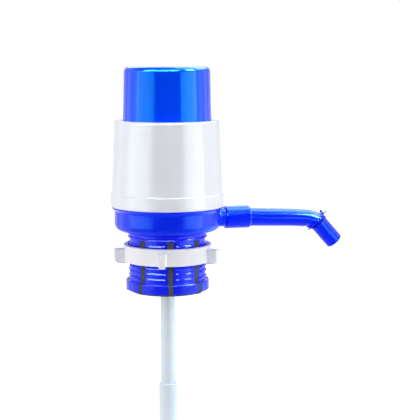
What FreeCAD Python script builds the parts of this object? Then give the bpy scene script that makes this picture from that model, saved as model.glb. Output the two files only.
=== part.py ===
import FreeCAD, Part
import math
import os

# Hand pump for a drinking-water jug, in millimetres.
# The origin is on the pump's axis, at the face that sits on the lip of the bottle's neck.
# +Z runs up to the push cap, and +X runs out along the spout.

Vector = FreeCAD.Vector
UP = Vector(0, 0, 1)
ORIGIN = Vector(0, 0, 0)

# Bottle neck and the parts that grip it
neck_bore_radius = 27.6
gasket_wall = 2.6
lip_seat_width = 6.6
washer_thickness = 2.4
washer_rebate = 0.6
gasket_overhang = 1.9
gasket_rib_clearance = 0.2
gasket_rib_height = 3.3
gasket_clearance = 0.1

collar_wall = 3.3
collar_head_drop = 1.7
collar_head_flare = 1.8
collar_waist = 0.9
collar_rim_height = 1.3
collar_rim_round = 1.0
collar_web = 1.1
collar_foot_depth = 46.5
collar_foot_height = 8.7
collar_foot_step = 3.3
finger_count = 8
finger_slot_width = 5.9
lower_slot_width = 4.4
foot_slot_width = 3.9
foot_slot_taper = 1.2
finger_border = 2.2
rib_count = 7
rib_pitch = 4.85
rib_thickness = 1.7
rib_height = 1.2
lowest_rib_rise = 4.1
collar_turn = 35.4

clamp_clearance = 0.4
clamp_wall = 4.0
clamp_height = 15.0
clamp_top_depth = 6.2
clamp_edge_round = 0.9
lug_count = 5
lug_width = 6.7
lug_reach = 9.0
lug_top_drop = 2.9
lug_bottom_rise = -0.9
lug_chamfer = 2.5
lug_taper_height = 3.0
lug_taper_width = 1.1
lug_turn = 33.8

# Base chamber: bowl, outlet stub and the hub that holds the dip tube
base_wall = 2.4
spigot_inset = 0.3
spigot_height = 4.4
snap_bead_height = 0.9
snap_bead_width = 1.6
snap_clearance = 0.15
bowl_flare_width = 2.5
bowl_corner_round = 6.2
bowl_flare_height = 3.5
bowl_lip_inset = 1.0
bowl_lip_thickness = 1.2
chamber_height = 20.7
rim_spigot_height = 7.5
air_port_count = 6
air_port_radius = 2.5
air_port_circle_radius = 15.0
hub_wall = 2.9
hub_depth = 14.0
hub_seat_rise = 8.0
outlet_gap = 0.5
outlet_bore_radius = 5.4
stub_radius = 8.2
stub_shoulder_reach = 52.9
stub_nose_radius = 7.5
stub_nose_length = 20.0
seal_section_radius = 0.7
outlet_seal_share_1 = 0.28
outlet_seal_share_2 = 0.78
stub_bead_width = 1.0
stub_bead_height = 0.4
tube_seal_depth = 8.0

# Dip tube
dip_radius = 6.5
dip_wall = 1.2
dip_clearance = 0.1
dip_section_length = 158.0
coupler_wall = 1.6
coupler_length = 35.0
coupler_stop = 1.6
dip_notch_width = 4.0
dip_notch_height = 5.0

# Deck, bellows and return spring
deck_thickness = 2.5
deck_clearance = 0.2
deck_seal_width = 1.3
deck_seal_height = 1.2
deck_seal_inset = 0.4
deck_shelf_width = 2.1
deck_shelf_height = 1.2
screw_post_radius = 3.6
deck_screw_count = 4
screw_shank_radius = 1.2
screw_head_radius = 2.4
screw_head_height = 1.6
screw_bite = 7.0
screw_clearance = 0.1
bellows_fold_depth = 6.5
bellows_wall = 0.9
bellows_folds = 9
bellows_flange_thickness = 1.5
bellows_flange_reach = 9.5
clamp_plate_thickness = 2.0
bellows_gap = 0.6
spring_radius = 12.0
spring_wire_radius = 0.9
spring_turns = 7
spring_seat_height = 2.5
spring_clearance = 0.3

# Valves: a rubber disc that slides on a headed pin, under a ring of ports
valve_disc_radius = 8.0
valve_disc_thickness = 1.0
valve_travel = 1.2
valve_pin_radius = 1.5
valve_head_radius = 2.7
valve_head_height = 1.2
valve_hole_clearance = 0.2
valve_end_gap = 0.2
valve_port_count = 6
valve_port_radius = 1.3
valve_port_circle_radius = 5.2

# Outer sleeve and push cap
sleeve_height = 75.8
sleeve_wall = 2.4
sleeve_band_height = 11.5
sleeve_band_step = 0.9
sleeve_flare = 3.0
sleeve_lip_width = 6.75
sleeve_lip_thickness = 2.2
sleeve_top_round = 2.0
sleeve_foot_round = 1.2
rim_clearance = 0.2

cap_rise = 46.6
cap_foot_radius = 39.2
cap_taper = 1.4
cap_clearance = 0.55
cap_wall = 2.0
cap_roof = 2.2
cap_top_round = 4.0
cap_stop_gap = 0.3
cap_stop_height = 2.5
cap_stop_clearance = 1.6
cap_skirt_drop = 12.0
cap_land_height = 3.8
cap_screw_bite = 3.4
cap_screw_shank_radius = 0.9
cap_screw_head_radius = 1.75
cap_screw_head_height = 1.2
cap_flange_width = 3.9
cap_flange_clearance = 0.3

# Spout and nozzle
spout_fit_clearance = 0.1
spout_end_gap = 0.3
socket_wall = 2.55
socket_nose_round = 1.8
socket_floor = 3.0
spout_droop_share = 0.5
spout_root_radius = 8.2
spout_tip_radius = 7.7
spout_bore_radius = 5.6
spout_straight = 35.0
spout_start_angle = 2.5
spout_long_bend_radius = 300.0
spout_long_bend_angle = 6.3
spout_short_bend_radius = 22.0
spout_tip_angle = 30.0
spout_cut_allowance = 6.0
nozzle_angle = 48.0
seam_flange_radius = 9.4
seam_flange_thickness = 1.2
seam_spigot_length = 4.5
seam_spigot_wall = 0.9
nozzle_offset = 1.3
nozzle_radius = 8.0
nozzle_wall = 1.9
nozzle_length = 27.2
nozzle_rim_radius = 8.7
nozzle_rim_thickness = 1.0
nozzle_neck_length = 1.8
nozzle_end_round = 0.8
nozzle_seal_thickness = 0.8
tie_wall = 0.9
tie_side_clearance = 0.15
tie_clearance = 0.05
tie_knot_clearance = 0.1
tie_head_radius = 1.2
tie_head_reach = 2.7
tie_tail_length = 4.4
tie_tail_radius = 0.6
tie_tail_angle = 26.0
tie_tag_reach = 10.9
tie_tag_width = 1.2

# Heights and radii that follow from the sizes above
gasket_radius = neck_bore_radius + gasket_wall
washer_bore_radius = neck_bore_radius - lip_seat_width
gasket_length = collar_foot_depth + gasket_overhang
collar_bore_radius = gasket_radius + gasket_clearance
collar_radius = collar_bore_radius + collar_wall
rib_crest_radius = collar_radius + rib_height
clamp_bore_radius = rib_crest_radius + clamp_clearance
clamp_radius = clamp_bore_radius + clamp_wall
collar_head_bottom = washer_thickness - collar_head_drop
slot_top = collar_head_bottom - collar_web
spigot_radius = gasket_radius - spigot_inset
spigot_bottom = washer_thickness
bowl_bottom = spigot_bottom + spigot_height
bowl_floor = bowl_bottom + base_wall
sleeve_lip_radius = cap_foot_radius + cap_clearance
sleeve_top_radius = sleeve_lip_radius + sleeve_lip_width
sleeve_band_radius = sleeve_top_radius + sleeve_flare + sleeve_band_step
bowl_lip_radius = sleeve_band_radius - bowl_lip_inset
bowl_radius = bowl_lip_radius - bowl_flare_width
bowl_inner_radius = bowl_radius - base_wall
deck_bottom = bowl_bottom + chamber_height
deck_top = deck_bottom + deck_thickness
valve_pin_length = valve_disc_thickness + valve_travel + valve_end_gap + valve_head_height
outlet_height = deck_bottom - valve_pin_length - outlet_gap - stub_radius
cap_top_radius = cap_foot_radius - cap_taper
cap_flange_radius = cap_top_radius - cap_wall - cap_flange_clearance
cap_screw_circle_radius = cap_flange_radius - cap_flange_width / 2
bellows_radius = cap_flange_radius - cap_flange_width - bellows_gap
bellows_root_radius = bellows_radius - bellows_fold_depth
screw_circle_radius = bellows_radius + (bellows_gap + bellows_flange_reach) / 2
bellows_bottom = deck_top
clamp_plate_bottom = bellows_bottom + bellows_flange_thickness
clamp_plate_top = clamp_plate_bottom + clamp_plate_thickness
sleeve_bottom = deck_bottom
sleeve_top = sleeve_bottom + sleeve_height
sleeve_lip_bottom = sleeve_top - sleeve_lip_thickness
rim_spigot_radius = sleeve_band_radius - sleeve_wall - rim_clearance
deck_radius = rim_spigot_radius - base_wall - deck_clearance
deck_shelf_radius = min(deck_radius - deck_shelf_width, bowl_inner_radius - 0.2)
deck_shelf_drop = bowl_inner_radius - deck_shelf_radius
cap_top = sleeve_top + cap_rise
cap_roof_bottom = cap_top - cap_roof
cap_stop_radius = sleeve_top_radius - sleeve_wall - cap_stop_clearance
cap_stop_top = sleeve_lip_bottom - cap_stop_gap
cap_stop_bottom = cap_stop_top - cap_stop_height
cap_bottom = cap_stop_bottom - cap_skirt_drop
bellows_top = cap_roof_bottom - cap_land_height
hub_bore_radius = dip_radius + dip_clearance
hub_radius = hub_bore_radius + hub_wall
hub_top = outlet_height + stub_radius
stub_reach = stub_shoulder_reach + stub_nose_length
outlet_seal_reach_1 = stub_shoulder_reach + stub_nose_length * outlet_seal_share_1
outlet_seal_reach_2 = stub_shoulder_reach + stub_nose_length * outlet_seal_share_2
stub_bead_reach = (outlet_seal_reach_1 + outlet_seal_reach_2) / 2
socket_bore_radius = stub_nose_radius + spout_fit_clearance
socket_radius = socket_bore_radius + socket_wall
socket_start = stub_shoulder_reach + spout_end_gap
socket_end = stub_reach + spout_end_gap + socket_floor
spout_droop = (socket_end - socket_start) * spout_droop_share * math.tan(math.radians(spout_start_angle))
nozzle_bore_radius = nozzle_radius - nozzle_wall
tie_width = nozzle_neck_length - 2 * tie_side_clearance


def outline(corners):
    """Close a wire through corners (across, up, rounding), with a tangent arc at each rounding."""
    edges = []
    ends = []
    for index in range(len(corners)):
        here = Vector(corners[index][0], 0, corners[index][1])
        before = Vector(corners[index - 1][0], 0, corners[index - 1][1]) - here
        following = corners[(index + 1) % len(corners)]
        after = Vector(following[0], 0, following[1]) - here
        rounding = corners[index][2]
        if rounding == 0:
            ends.append((here, here))
            continue
        half_turn = before.getAngle(after) / 2
        reach = rounding / math.tan(half_turn)
        start = here + before.normalize() * reach
        finish = here + after.normalize() * reach
        inward = (before + after).normalize()
        middle = here + inward * (rounding / math.sin(half_turn) - rounding)
        edges.append(Part.Arc(start, middle, finish).toShape())
        ends.append((start, finish))
    for index in range(len(ends)):
        line_start = ends[index - 1][1]
        line_end = ends[index][0]
        if line_start.distanceToPoint(line_end) > 1e-6:
            edges.append(Part.LineSegment(line_start, line_end).toShape())
    return Part.Wire(Part.__sortEdges__(edges))


def turned_solid(corners):
    """Turn an outline about the pump's axis."""
    return Part.Face(outline(corners)).revolve(ORIGIN, UP, 360)


def ring(inner, outer, bottom, top):
    """A plain ring, or a disc where the inner radius is 0."""
    corners = [(inner, bottom, 0), (outer, bottom, 0), (outer, top, 0), (inner, top, 0)]
    return turned_solid(corners)


def post(radius, bottom, top, across=0.0):
    """An upright cylinder, set off from the axis along X."""
    return Part.makeCylinder(radius, top - bottom, Vector(across, 0, bottom), UP)


def turned(shape, angle):
    """A copy turned about the pump's axis."""
    copy = shape.copy()
    copy.rotate(ORIGIN, UP, angle)
    return copy


def around(shape, count, first_angle=0.0):
    """Copies of a shape, evenly spaced about the pump's axis."""
    return [turned(shape, first_angle + 360.0 * number / count) for number in range(count)]


def seal_ring(radius, centre, axis):
    """An O-ring of round section."""
    return Part.makeTorus(radius, seal_section_radius, centre, axis)


def valve_seat(seat_height, through):
    """The pin that a valve disc slides on, and the cutters of the ports above the disc."""
    head_top = seat_height - valve_disc_thickness - valve_travel - valve_end_gap
    stem = post(valve_pin_radius, head_top, seat_height + through / 2)
    head = post(valve_head_radius, head_top - valve_head_height, head_top)
    port = post(valve_port_radius, seat_height - 1, seat_height + through + 1, valve_port_circle_radius)
    return stem.fuse(head), around(port, valve_port_count)


def valve_disc(seat_height):
    """A rubber disc with a hole for its pin, closed against the seat."""
    hole_radius = valve_pin_radius + valve_hole_clearance
    return ring(hole_radius, valve_disc_radius, seat_height - valve_disc_thickness, seat_height)


def spring_seat(bottom, top):
    """The raised ring that keeps an end of the return spring in the middle."""
    outer = spring_radius - spring_wire_radius - spring_clearance
    return ring(outer - 1.2, outer, bottom, top)


def screw(head_bottom, shank_bottom, across, shank_radius, head_radius, head_height):
    """A pan-head screw that points down, with a socket in its head."""
    shank = post(shank_radius, shank_bottom, head_bottom + 0.2, across)
    head = post(head_radius, head_bottom, head_bottom + head_height, across)
    socket = post(head_radius * 0.4, head_bottom + head_height * 0.5, head_bottom + head_height + 1, across)
    return shank.fuse(head).cut(socket)


def push_cap():
    """The palm button: a deep thimble with a stop collar that the sleeve's lip holds in."""
    inner_top = cap_top_radius - cap_wall
    inner_foot = cap_foot_radius - cap_wall
    shell = turned_solid([
        (0, cap_top, 0), (cap_top_radius, cap_top, cap_top_round),
        (cap_foot_radius, cap_stop_top, 0), (cap_stop_radius, cap_stop_top, 0.5),
        (cap_stop_radius, cap_stop_bottom, 0.5), (cap_foot_radius, cap_stop_bottom, 0),
        (cap_foot_radius, cap_bottom, 0), (inner_foot, cap_bottom, 0),
        (inner_foot, cap_stop_bottom, 0), (inner_top, cap_roof_bottom, 1.5),
        (0, cap_roof_bottom, 0)])
    land_bore = bellows_radius + bellows_gap
    land = ring(land_bore, inner_top + cap_wall / 2, bellows_top, cap_roof_bottom + cap_roof / 2)
    pin, ports = valve_seat(cap_roof_bottom, cap_roof)
    seat = spring_seat(cap_roof_bottom - spring_seat_height, cap_roof_bottom + cap_roof / 2)
    cap = shell.fuse([land, pin, seat])
    pilot_radius = cap_screw_shank_radius + screw_clearance
    pilot = post(pilot_radius, bellows_top - 1, bellows_top + cap_screw_bite, cap_screw_circle_radius)
    return cap.cut(ports + around(pilot, deck_screw_count, 45))


def bellows_top_ring():
    """The ring that holds the top flange of the bellows under the cap's land."""
    inner = bellows_radius + bellows_gap
    top = bellows_top - bellows_flange_thickness
    plate = ring(inner, cap_flange_radius, top - clamp_plate_thickness, top)
    hole_radius = cap_screw_shank_radius + screw_clearance
    hole = post(hole_radius, top - clamp_plate_thickness - 1, top + 1, cap_screw_circle_radius)
    return plate.cut(around(hole, deck_screw_count, 45))


def cap_screws():
    """Four small screws, driven up through the ring and the flange into the cap's land."""
    head_top = bellows_top - bellows_flange_thickness - clamp_plate_thickness
    length = bellows_flange_thickness + clamp_plate_thickness + cap_screw_bite - 0.4
    one = screw(0, -length, cap_screw_circle_radius, cap_screw_shank_radius,
                cap_screw_head_radius, cap_screw_head_height)
    one.rotate(Vector(cap_screw_circle_radius, 0, 0), Vector(1, 0, 0), 180)
    one.translate(UP * head_top)
    return Part.makeCompound(around(one, deck_screw_count, 45))


def bellows():
    """A moulded bellows: thin folds between two flat flanges."""
    folds_bottom = bellows_bottom + bellows_flange_thickness
    folds_top = bellows_top - bellows_flange_thickness
    half_fold = (folds_top - folds_bottom) / (2 * bellows_folds)
    outside = []
    inside = []
    for number in range(1, 2 * bellows_folds):
        height = folds_bottom + number * half_fold
        radius = bellows_radius if number % 2 else bellows_root_radius + bellows_wall
        outside.append((radius, height, 0))
        inside.append((radius - bellows_wall, height, 0))
    inside.reverse()
    root = bellows_root_radius + bellows_wall
    bottom_reach = bellows_radius + bellows_flange_reach
    corners = [(bellows_root_radius, bellows_bottom, 0), (bottom_reach, bellows_bottom, 0),
               (bottom_reach, folds_bottom, 0), (root, folds_bottom, 0)]
    corners += outside
    corners += [(root, folds_top, 0), (cap_flange_radius, folds_top, 0),
                (cap_flange_radius, bellows_top, 0), (bellows_root_radius, bellows_top, 0)]
    corners += inside
    body = turned_solid(corners)
    deck_hole = post(screw_shank_radius + screw_clearance, bellows_bottom - 1, folds_bottom + 1,
                     screw_circle_radius)
    cap_hole = post(cap_screw_shank_radius + screw_clearance, folds_top - 1, bellows_top + 1,
                    cap_screw_circle_radius)
    return body.cut(around(deck_hole, deck_screw_count, 45) + around(cap_hole, deck_screw_count, 45))


def return_spring():
    """A coil spring between the deck and the cap's roof."""
    start = deck_top + spring_wire_radius
    length = cap_roof_bottom - spring_wire_radius - start
    path = Part.makeHelix(length / spring_turns, length, spring_radius)
    path.translate(UP * start)
    section = Part.Wire(Part.makeCircle(spring_wire_radius, Vector(spring_radius, 0, start), Vector(0, 1, 0)))
    return Part.Wire(path).makePipeShell([section], True, True)


def outer_sleeve():
    """The white housing: a low band at the foot, a taper, and a lip that keeps the cap in."""
    shoulder_height = sleeve_bottom + sleeve_band_height
    shoulder = sleeve_band_radius - sleeve_band_step
    step_end = shoulder_height + sleeve_band_step
    inner_foot = sleeve_band_radius - sleeve_wall
    return turned_solid([
        (inner_foot, sleeve_bottom, 0), (sleeve_band_radius, sleeve_bottom, sleeve_foot_round),
        (sleeve_band_radius, shoulder_height, 0.3), (shoulder, step_end, 0.3),
        (sleeve_top_radius, sleeve_top, sleeve_top_round), (sleeve_lip_radius, sleeve_top, 0.8),
        (sleeve_lip_radius, sleeve_lip_bottom, 0.4),
        (sleeve_top_radius - sleeve_wall, sleeve_lip_bottom, 0),
        (shoulder - sleeve_wall, step_end, 0), (inner_foot, shoulder_height, 0)])


def bellows_clamp_ring():
    """The ring that presses the bottom flange of the bellows on the deck."""
    inner = bellows_radius + bellows_gap
    outer = bellows_radius + bellows_flange_reach
    plate = ring(inner, outer, clamp_plate_bottom, clamp_plate_top)
    hole = post(screw_shank_radius + screw_clearance, clamp_plate_bottom - 1, clamp_plate_top + 1,
                screw_circle_radius)
    return plate.cut(around(hole, deck_screw_count, 45))


def base_deck():
    """The disc that closes the base chamber and carries the bellows."""
    disc = ring(0, deck_radius, deck_bottom, deck_top)
    pin, ports = valve_seat(deck_bottom, deck_thickness)
    seat = spring_seat(deck_top - deck_thickness / 2, deck_top + spring_seat_height)
    hole = post(screw_shank_radius + screw_clearance, deck_bottom - 1, deck_top + 1, screw_circle_radius)
    groove_outer = deck_radius - deck_seal_inset
    groove = ring(groove_outer - deck_seal_width, groove_outer, deck_bottom - 1, deck_bottom + deck_seal_height)
    return disc.fuse([pin, seat]).cut(ports + around(hole, deck_screw_count, 45) + [groove])


def deck_seal():
    """The rubber ring in the groove under the deck's rim."""
    outer = deck_radius - deck_seal_inset
    return ring(outer - deck_seal_width, outer, deck_bottom, deck_bottom + deck_seal_height)


def deck_screws():
    """Four screws through the clamp ring, the flange and the deck into the chamber's posts."""
    one = screw(clamp_plate_top, deck_bottom - screw_bite + 0.5, screw_circle_radius, screw_shank_radius,
                screw_head_radius, screw_head_height)
    return Part.makeCompound(around(one, deck_screw_count, 45))


def snap_bead(clearance):
    """The bead on the chamber's spigot, or the groove for it in the collar."""
    middle = (spigot_bottom + bowl_bottom) / 2
    half = snap_bead_width / 2 + clearance
    crest = spigot_radius + snap_bead_height + clearance
    root = spigot_radius - 0.5
    return turned_solid([(root, middle - half - 0.5, 0), (crest, middle, 0), (root, middle + half + 0.5, 0)])


def chamber_bowl():
    """The chamber's shell: spigot, floor, round bowl and the rim that the sleeve sits on."""
    rim_top = deck_bottom + rim_spigot_height
    lip_start = deck_bottom - bowl_lip_thickness
    rim_inner = rim_spigot_radius - base_wall
    return turned_solid([
        (washer_bore_radius, spigot_bottom, 0), (spigot_radius, spigot_bottom, 0.4),
        (spigot_radius, bowl_bottom, 0), (bowl_radius, bowl_bottom, bowl_corner_round),
        (bowl_radius, deck_bottom - bowl_flare_height, 2.0), (bowl_lip_radius, lip_start, 0),
        (bowl_lip_radius, deck_bottom, 0), (rim_spigot_radius, deck_bottom, 0),
        (rim_spigot_radius, rim_top, 0.6), (rim_inner, rim_top, 0), (rim_inner, deck_bottom, 0),
        (deck_shelf_radius, deck_bottom, 0), (deck_shelf_radius, deck_bottom - deck_shelf_height, 0),
        (bowl_inner_radius, deck_bottom - deck_shelf_height - deck_shelf_drop, 0),
        (bowl_inner_radius, bowl_floor, bowl_corner_round - base_wall),
        (0, bowl_floor, 0), (0, bowl_bottom, 0), (washer_bore_radius, bowl_bottom, 0)])


def base_chamber():
    """The blue base: bowl, hub for the dip tube, water channel, outlet stub and screw posts."""
    along = Vector(1, 0, 0)
    outlet = Vector(0, 0, outlet_height)
    hub = turned_solid([(0, -hub_depth, 0), (hub_radius, -hub_depth, 1.0),
                        (hub_radius, hub_top, 2.5), (0, hub_top, 0)])
    arm = Part.makeCylinder(stub_radius, stub_shoulder_reach, outlet, along)
    nose = Part.makeCylinder(stub_nose_radius, stub_reach, outlet, along)
    nose_edges = [edge for edge in nose.Edges if edge.BoundBox.XMin > stub_reach - 0.1]
    nose = nose.makeChamfer(0.8, nose_edges)
    bead_radius = stub_nose_radius + stub_bead_height
    bead_start = outlet + along * (stub_bead_reach - stub_bead_width / 2)
    bead = Part.makeCylinder(bead_radius, stub_bead_width, bead_start, along)
    screw_post = post(screw_post_radius, bowl_floor - base_wall / 2, deck_bottom, screw_circle_radius)
    posts = around(screw_post, deck_screw_count, 45)
    solid = chamber_bowl().fuse([snap_bead(0), hub, arm, nose, bead] + posts)
    pilot = post(screw_shank_radius + screw_clearance, deck_bottom - screw_bite, deck_bottom + 1,
                 screw_circle_radius)
    tube_bore = post(hub_bore_radius, -hub_depth - 1, hub_seat_rise)
    riser = post(dip_radius - dip_wall, 0, outlet_height)
    channel = Part.makeCylinder(outlet_bore_radius, stub_reach + 1, outlet, along)
    turn = Part.makeSphere(outlet_bore_radius, outlet)
    air_port = post(air_port_radius, bowl_bottom - 1, bowl_floor + 1, air_port_circle_radius)
    cutters = around(pilot, deck_screw_count, 45) + [tube_bore, riser, channel, turn]
    cutters += around(air_port, air_port_count, 30)
    for reach in (outlet_seal_reach_1, outlet_seal_reach_2):
        cutters.append(outlet_seal_groove(reach))
    cutters.append(ring(hub_bore_radius - 0.5, dip_radius + 2 * seal_section_radius + 0.05,
                        -tube_seal_depth - seal_section_radius, -tube_seal_depth + seal_section_radius))
    return solid.cut(cutters)


def outlet_seal_groove(reach):
    """A square groove round the outlet stub."""
    along = Vector(1, 0, 0)
    start = Vector(reach - seal_section_radius, 0, outlet_height)
    outer = Part.makeCylinder(stub_nose_radius + 1, 2 * seal_section_radius, start, along)
    inner_radius = stub_nose_radius + 0.05 - 2 * seal_section_radius
    return outer.cut(Part.makeCylinder(inner_radius, 2 * seal_section_radius, start, along))


def outlet_seals():
    """Two O-rings in the grooves of the outlet stub."""
    radius = stub_nose_radius + 0.05 - seal_section_radius
    rings = []
    for reach in (outlet_seal_reach_1, outlet_seal_reach_2):
        rings.append(seal_ring(radius, Vector(reach, 0, outlet_height), Vector(1, 0, 0)))
    return Part.makeCompound(rings)


def tube_seal():
    """The O-ring round the dip tube, inside the hub."""
    return seal_ring(dip_radius + seal_section_radius, Vector(0, 0, -tube_seal_depth), UP)


def slot_cutter(clearance, inner, outer):
    """One slot between two fingers, narrower towards the feet; clearance makes it narrower all over."""
    wide = finger_slot_width / 2 - clearance
    lower = lower_slot_width / 2 - clearance
    narrow = foot_slot_width / 2 - clearance
    foot_top = collar_foot_height - collar_foot_depth
    taper_end = foot_top - foot_slot_taper
    points = [Vector(inner, wide, slot_top), Vector(inner, lower, foot_top),
              Vector(inner, narrow, taper_end), Vector(inner, narrow, -gasket_length - 1),
              Vector(inner, -narrow, -gasket_length - 1), Vector(inner, -narrow, taper_end),
              Vector(inner, -lower, foot_top), Vector(inner, -wide, slot_top)]
    points.append(points[0])
    return Part.Face(Part.makePolygon(points)).extrude(Vector(outer - inner, 0, 0))


def neck_collar():
    """The clamp collar: a head band that snaps on the chamber, and ribbed fingers with feet."""
    foot_top = collar_foot_height - collar_foot_depth
    head_radius = collar_radius + collar_head_flare
    waist_radius = head_radius - collar_waist
    foot_radius = collar_radius + collar_foot_step
    shell = turned_solid([
        (collar_bore_radius, -collar_foot_depth, 0.6), (foot_radius, -collar_foot_depth, 0.8),
        (foot_radius, foot_top, 0.6), (collar_radius, foot_top, 0),
        (collar_radius, collar_head_bottom, 0), (head_radius, collar_head_bottom, 0.4),
        (head_radius, collar_head_bottom + collar_rim_height, 0.3),
        (waist_radius, collar_head_bottom + collar_rim_height + collar_waist / 2, 0.3),
        (waist_radius, bowl_bottom - collar_rim_height - collar_waist / 2, 0.3),
        (head_radius, bowl_bottom - collar_rim_height, 0.2),
        (head_radius, bowl_bottom, collar_rim_round), (collar_bore_radius, bowl_bottom, 0)])
    ribs = []
    for number in range(rib_count):
        bottom = foot_top + lowest_rib_rise - rib_thickness / 2 + number * rib_pitch
        top = bottom + rib_thickness
        ribs.append(turned_solid([
            (collar_radius - 0.5, bottom, 0), (collar_radius, bottom, 0),
            (rib_crest_radius, bottom + rib_thickness / 4, 0), (rib_crest_radius, top - rib_thickness / 4, 0),
            (collar_radius, top, 0), (collar_radius - 0.5, top, 0)]))
    narrowing = slot_cutter(0, collar_bore_radius / 2, foot_radius + 3)
    border = slot_cutter(-finger_border, collar_bore_radius / 2, foot_radius + 3)
    fingers = shell.cut(around(narrowing, finger_count, collar_turn))
    ribs = ribs[0].fuse(ribs[1:]).cut(around(border, finger_count, collar_turn))
    return fingers.fuse(ribs).cut(snap_bead(snap_clearance))


def neck_gasket():
    """The rubber sleeve that seals on the neck, with ribs that fill the collar's slots."""
    sleeve = turned_solid([
        (neck_bore_radius, -gasket_length, 0.8), (gasket_radius, -gasket_length, 0.5),
        (gasket_radius, washer_rebate, 0), (neck_bore_radius, washer_rebate, 0)])
    rib = slot_cutter(gasket_rib_clearance, neck_bore_radius + gasket_wall / 2,
                      gasket_radius + gasket_rib_height)
    keep = ring(0, gasket_radius + gasket_rib_height, -gasket_length + 0.8, slot_top - gasket_rib_clearance)
    return sleeve.fuse(around(rib.common(keep), finger_count, collar_turn))


def lip_washer():
    """The rubber washer that the bottle's lip presses on, with a rebate over the sleeve's edge."""
    return turned_solid([
        (washer_bore_radius, 0, 0.6), (neck_bore_radius, 0, 0), (neck_bore_radius, washer_rebate, 0),
        (gasket_radius, washer_rebate, 0), (gasket_radius, washer_thickness, 0),
        (washer_bore_radius, washer_thickness, 0)])


def clamp_ring():
    """The white ring that is pushed down over the fingers, with lugs to turn and pull it by."""
    top = -clamp_top_depth
    bottom = top - clamp_height
    hoop = turned_solid([
        (clamp_bore_radius, bottom, 0), (clamp_radius, bottom, clamp_edge_round),
        (clamp_radius, top, clamp_edge_round), (clamp_bore_radius, top, 0.5)])
    inner = clamp_bore_radius + clamp_wall / 2
    outer = clamp_radius + lug_reach
    lug_top = top - lug_top_drop
    lug_bottom = bottom + lug_bottom_rise
    side = outline([(inner, lug_bottom, 0), (outer - lug_chamfer, lug_bottom, 0),
                    (outer, lug_bottom + lug_chamfer, 0), (outer, lug_top, 0.8), (inner, lug_top, 0)])
    side.translate(Vector(0, -lug_width / 2, 0))
    half = lug_width / 2
    low = half - lug_taper_width
    front = outline([(-low, lug_bottom, 0.6), (low, lug_bottom, 0.6), (half, lug_bottom + lug_taper_height, 0),
                     (half, lug_top, 0.8), (-half, lug_top, 0.8), (-half, lug_bottom + lug_taper_height, 0)])
    front.rotate(ORIGIN, UP, 90)
    lug = Part.Face(side).extrude(Vector(0, lug_width, 0)).common(
        Part.Face(front).extrude(Vector(outer + 1, 0, 0)))
    return hoop.fuse(around(lug, lug_count, lug_turn))


def dip_tube(top, length, notched):
    """One length of the dip tube."""
    tube = ring(dip_radius - dip_wall, dip_radius, top - length, top)
    if not notched:
        return tube
    notch = Part.makeBox(4 * dip_radius, dip_notch_width, dip_notch_height + 1,
                         Vector(-2 * dip_radius, -dip_notch_width / 2, top - length - 1))
    return tube.cut([notch, turned(notch, 90)])


def tube_coupler(middle):
    """A socket at each end and a stop rib between the two tubes."""
    bore = dip_radius + dip_clearance
    half = coupler_length / 2
    stop = coupler_stop / 2
    return turned_solid([
        (bore, middle - half, 0), (bore + coupler_wall, middle - half, 0.5),
        (bore + coupler_wall, middle + half, 0.5), (bore, middle + half, 0),
        (bore, middle + stop, 0), (dip_radius - dip_wall, middle + stop, 0),
        (dip_radius - dip_wall, middle - stop, 0), (bore, middle - stop, 0)])


def point_on_spout(angle):
    """Centre of the spout's path where it slopes down by an angle, and that direction."""
    first = math.radians(spout_start_angle)
    long_turn = math.radians(min(angle, spout_long_bend_angle))
    across = socket_end + spout_straight * math.cos(first)
    across += spout_long_bend_radius * (math.sin(long_turn) - math.sin(first))
    drop = spout_droop + spout_straight * math.sin(first)
    drop += spout_long_bend_radius * (math.cos(first) - math.cos(long_turn))
    if angle > spout_long_bend_angle:
        finish = math.radians(angle)
        across += spout_short_bend_radius * (math.sin(finish) - math.sin(long_turn))
        drop += spout_short_bend_radius * (math.cos(long_turn) - math.cos(finish))
    slope = math.radians(angle)
    direction = Vector(math.cos(slope), 0, -math.sin(slope))
    return Vector(across, 0, outlet_height - drop), direction


def seam_centre():
    """Where the spout's path meets the slanted seam."""
    return point_on_spout(spout_tip_angle)[0]


def nozzle_direction():
    """The way the water leaves."""
    slope = math.radians(nozzle_angle)
    return Vector(math.cos(slope), 0, -math.sin(slope))


def nozzle_start():
    """Centre of the nozzle in the seam's plane: a little above the centre of the spout."""
    slope = math.radians(nozzle_angle)
    return seam_centre() + Vector(math.sin(slope), 0, math.cos(slope)) * nozzle_offset


def spout_path(back):
    """The spout's path, from a distance back inside the socket: straight, two bends and a straight end."""
    bend_start, first = point_on_spout(spout_start_angle)
    long_middle = point_on_spout((spout_start_angle + spout_long_bend_angle) / 2)[0]
    long_end = point_on_spout(spout_long_bend_angle)[0]
    short_middle = point_on_spout((spout_long_bend_angle + spout_tip_angle) / 2)[0]
    tip, direction = point_on_spout(spout_tip_angle)
    start = bend_start - first * (spout_straight + back)
    edges = [Part.LineSegment(start, bend_start).toShape(),
             Part.Arc(bend_start, long_middle, long_end).toShape(),
             Part.Arc(long_end, short_middle, tip).toShape(),
             Part.LineSegment(tip, tip + direction * spout_cut_allowance).toShape()]
    return Part.Wire(edges), start, first


def swept_round(back, first_radius, last_radius):
    """A round bar along the spout's path, tapered from the socket to the tip."""
    path, start, first = spout_path(back)
    tip, direction = point_on_spout(spout_tip_angle)
    root = Part.Wire(Part.makeCircle(first_radius, start, first))
    last = Part.Wire(Part.makeCircle(last_radius, tip + direction * spout_cut_allowance, direction))
    return path.makePipeShell([root, last], True, False)


def disc_along_nozzle(centre, first, last, radius):
    """A cylinder along the nozzle's direction, between two distances from a centre."""
    direction = nozzle_direction()
    return Part.makeCylinder(radius, last - first, centre + direction * first, direction)


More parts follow.
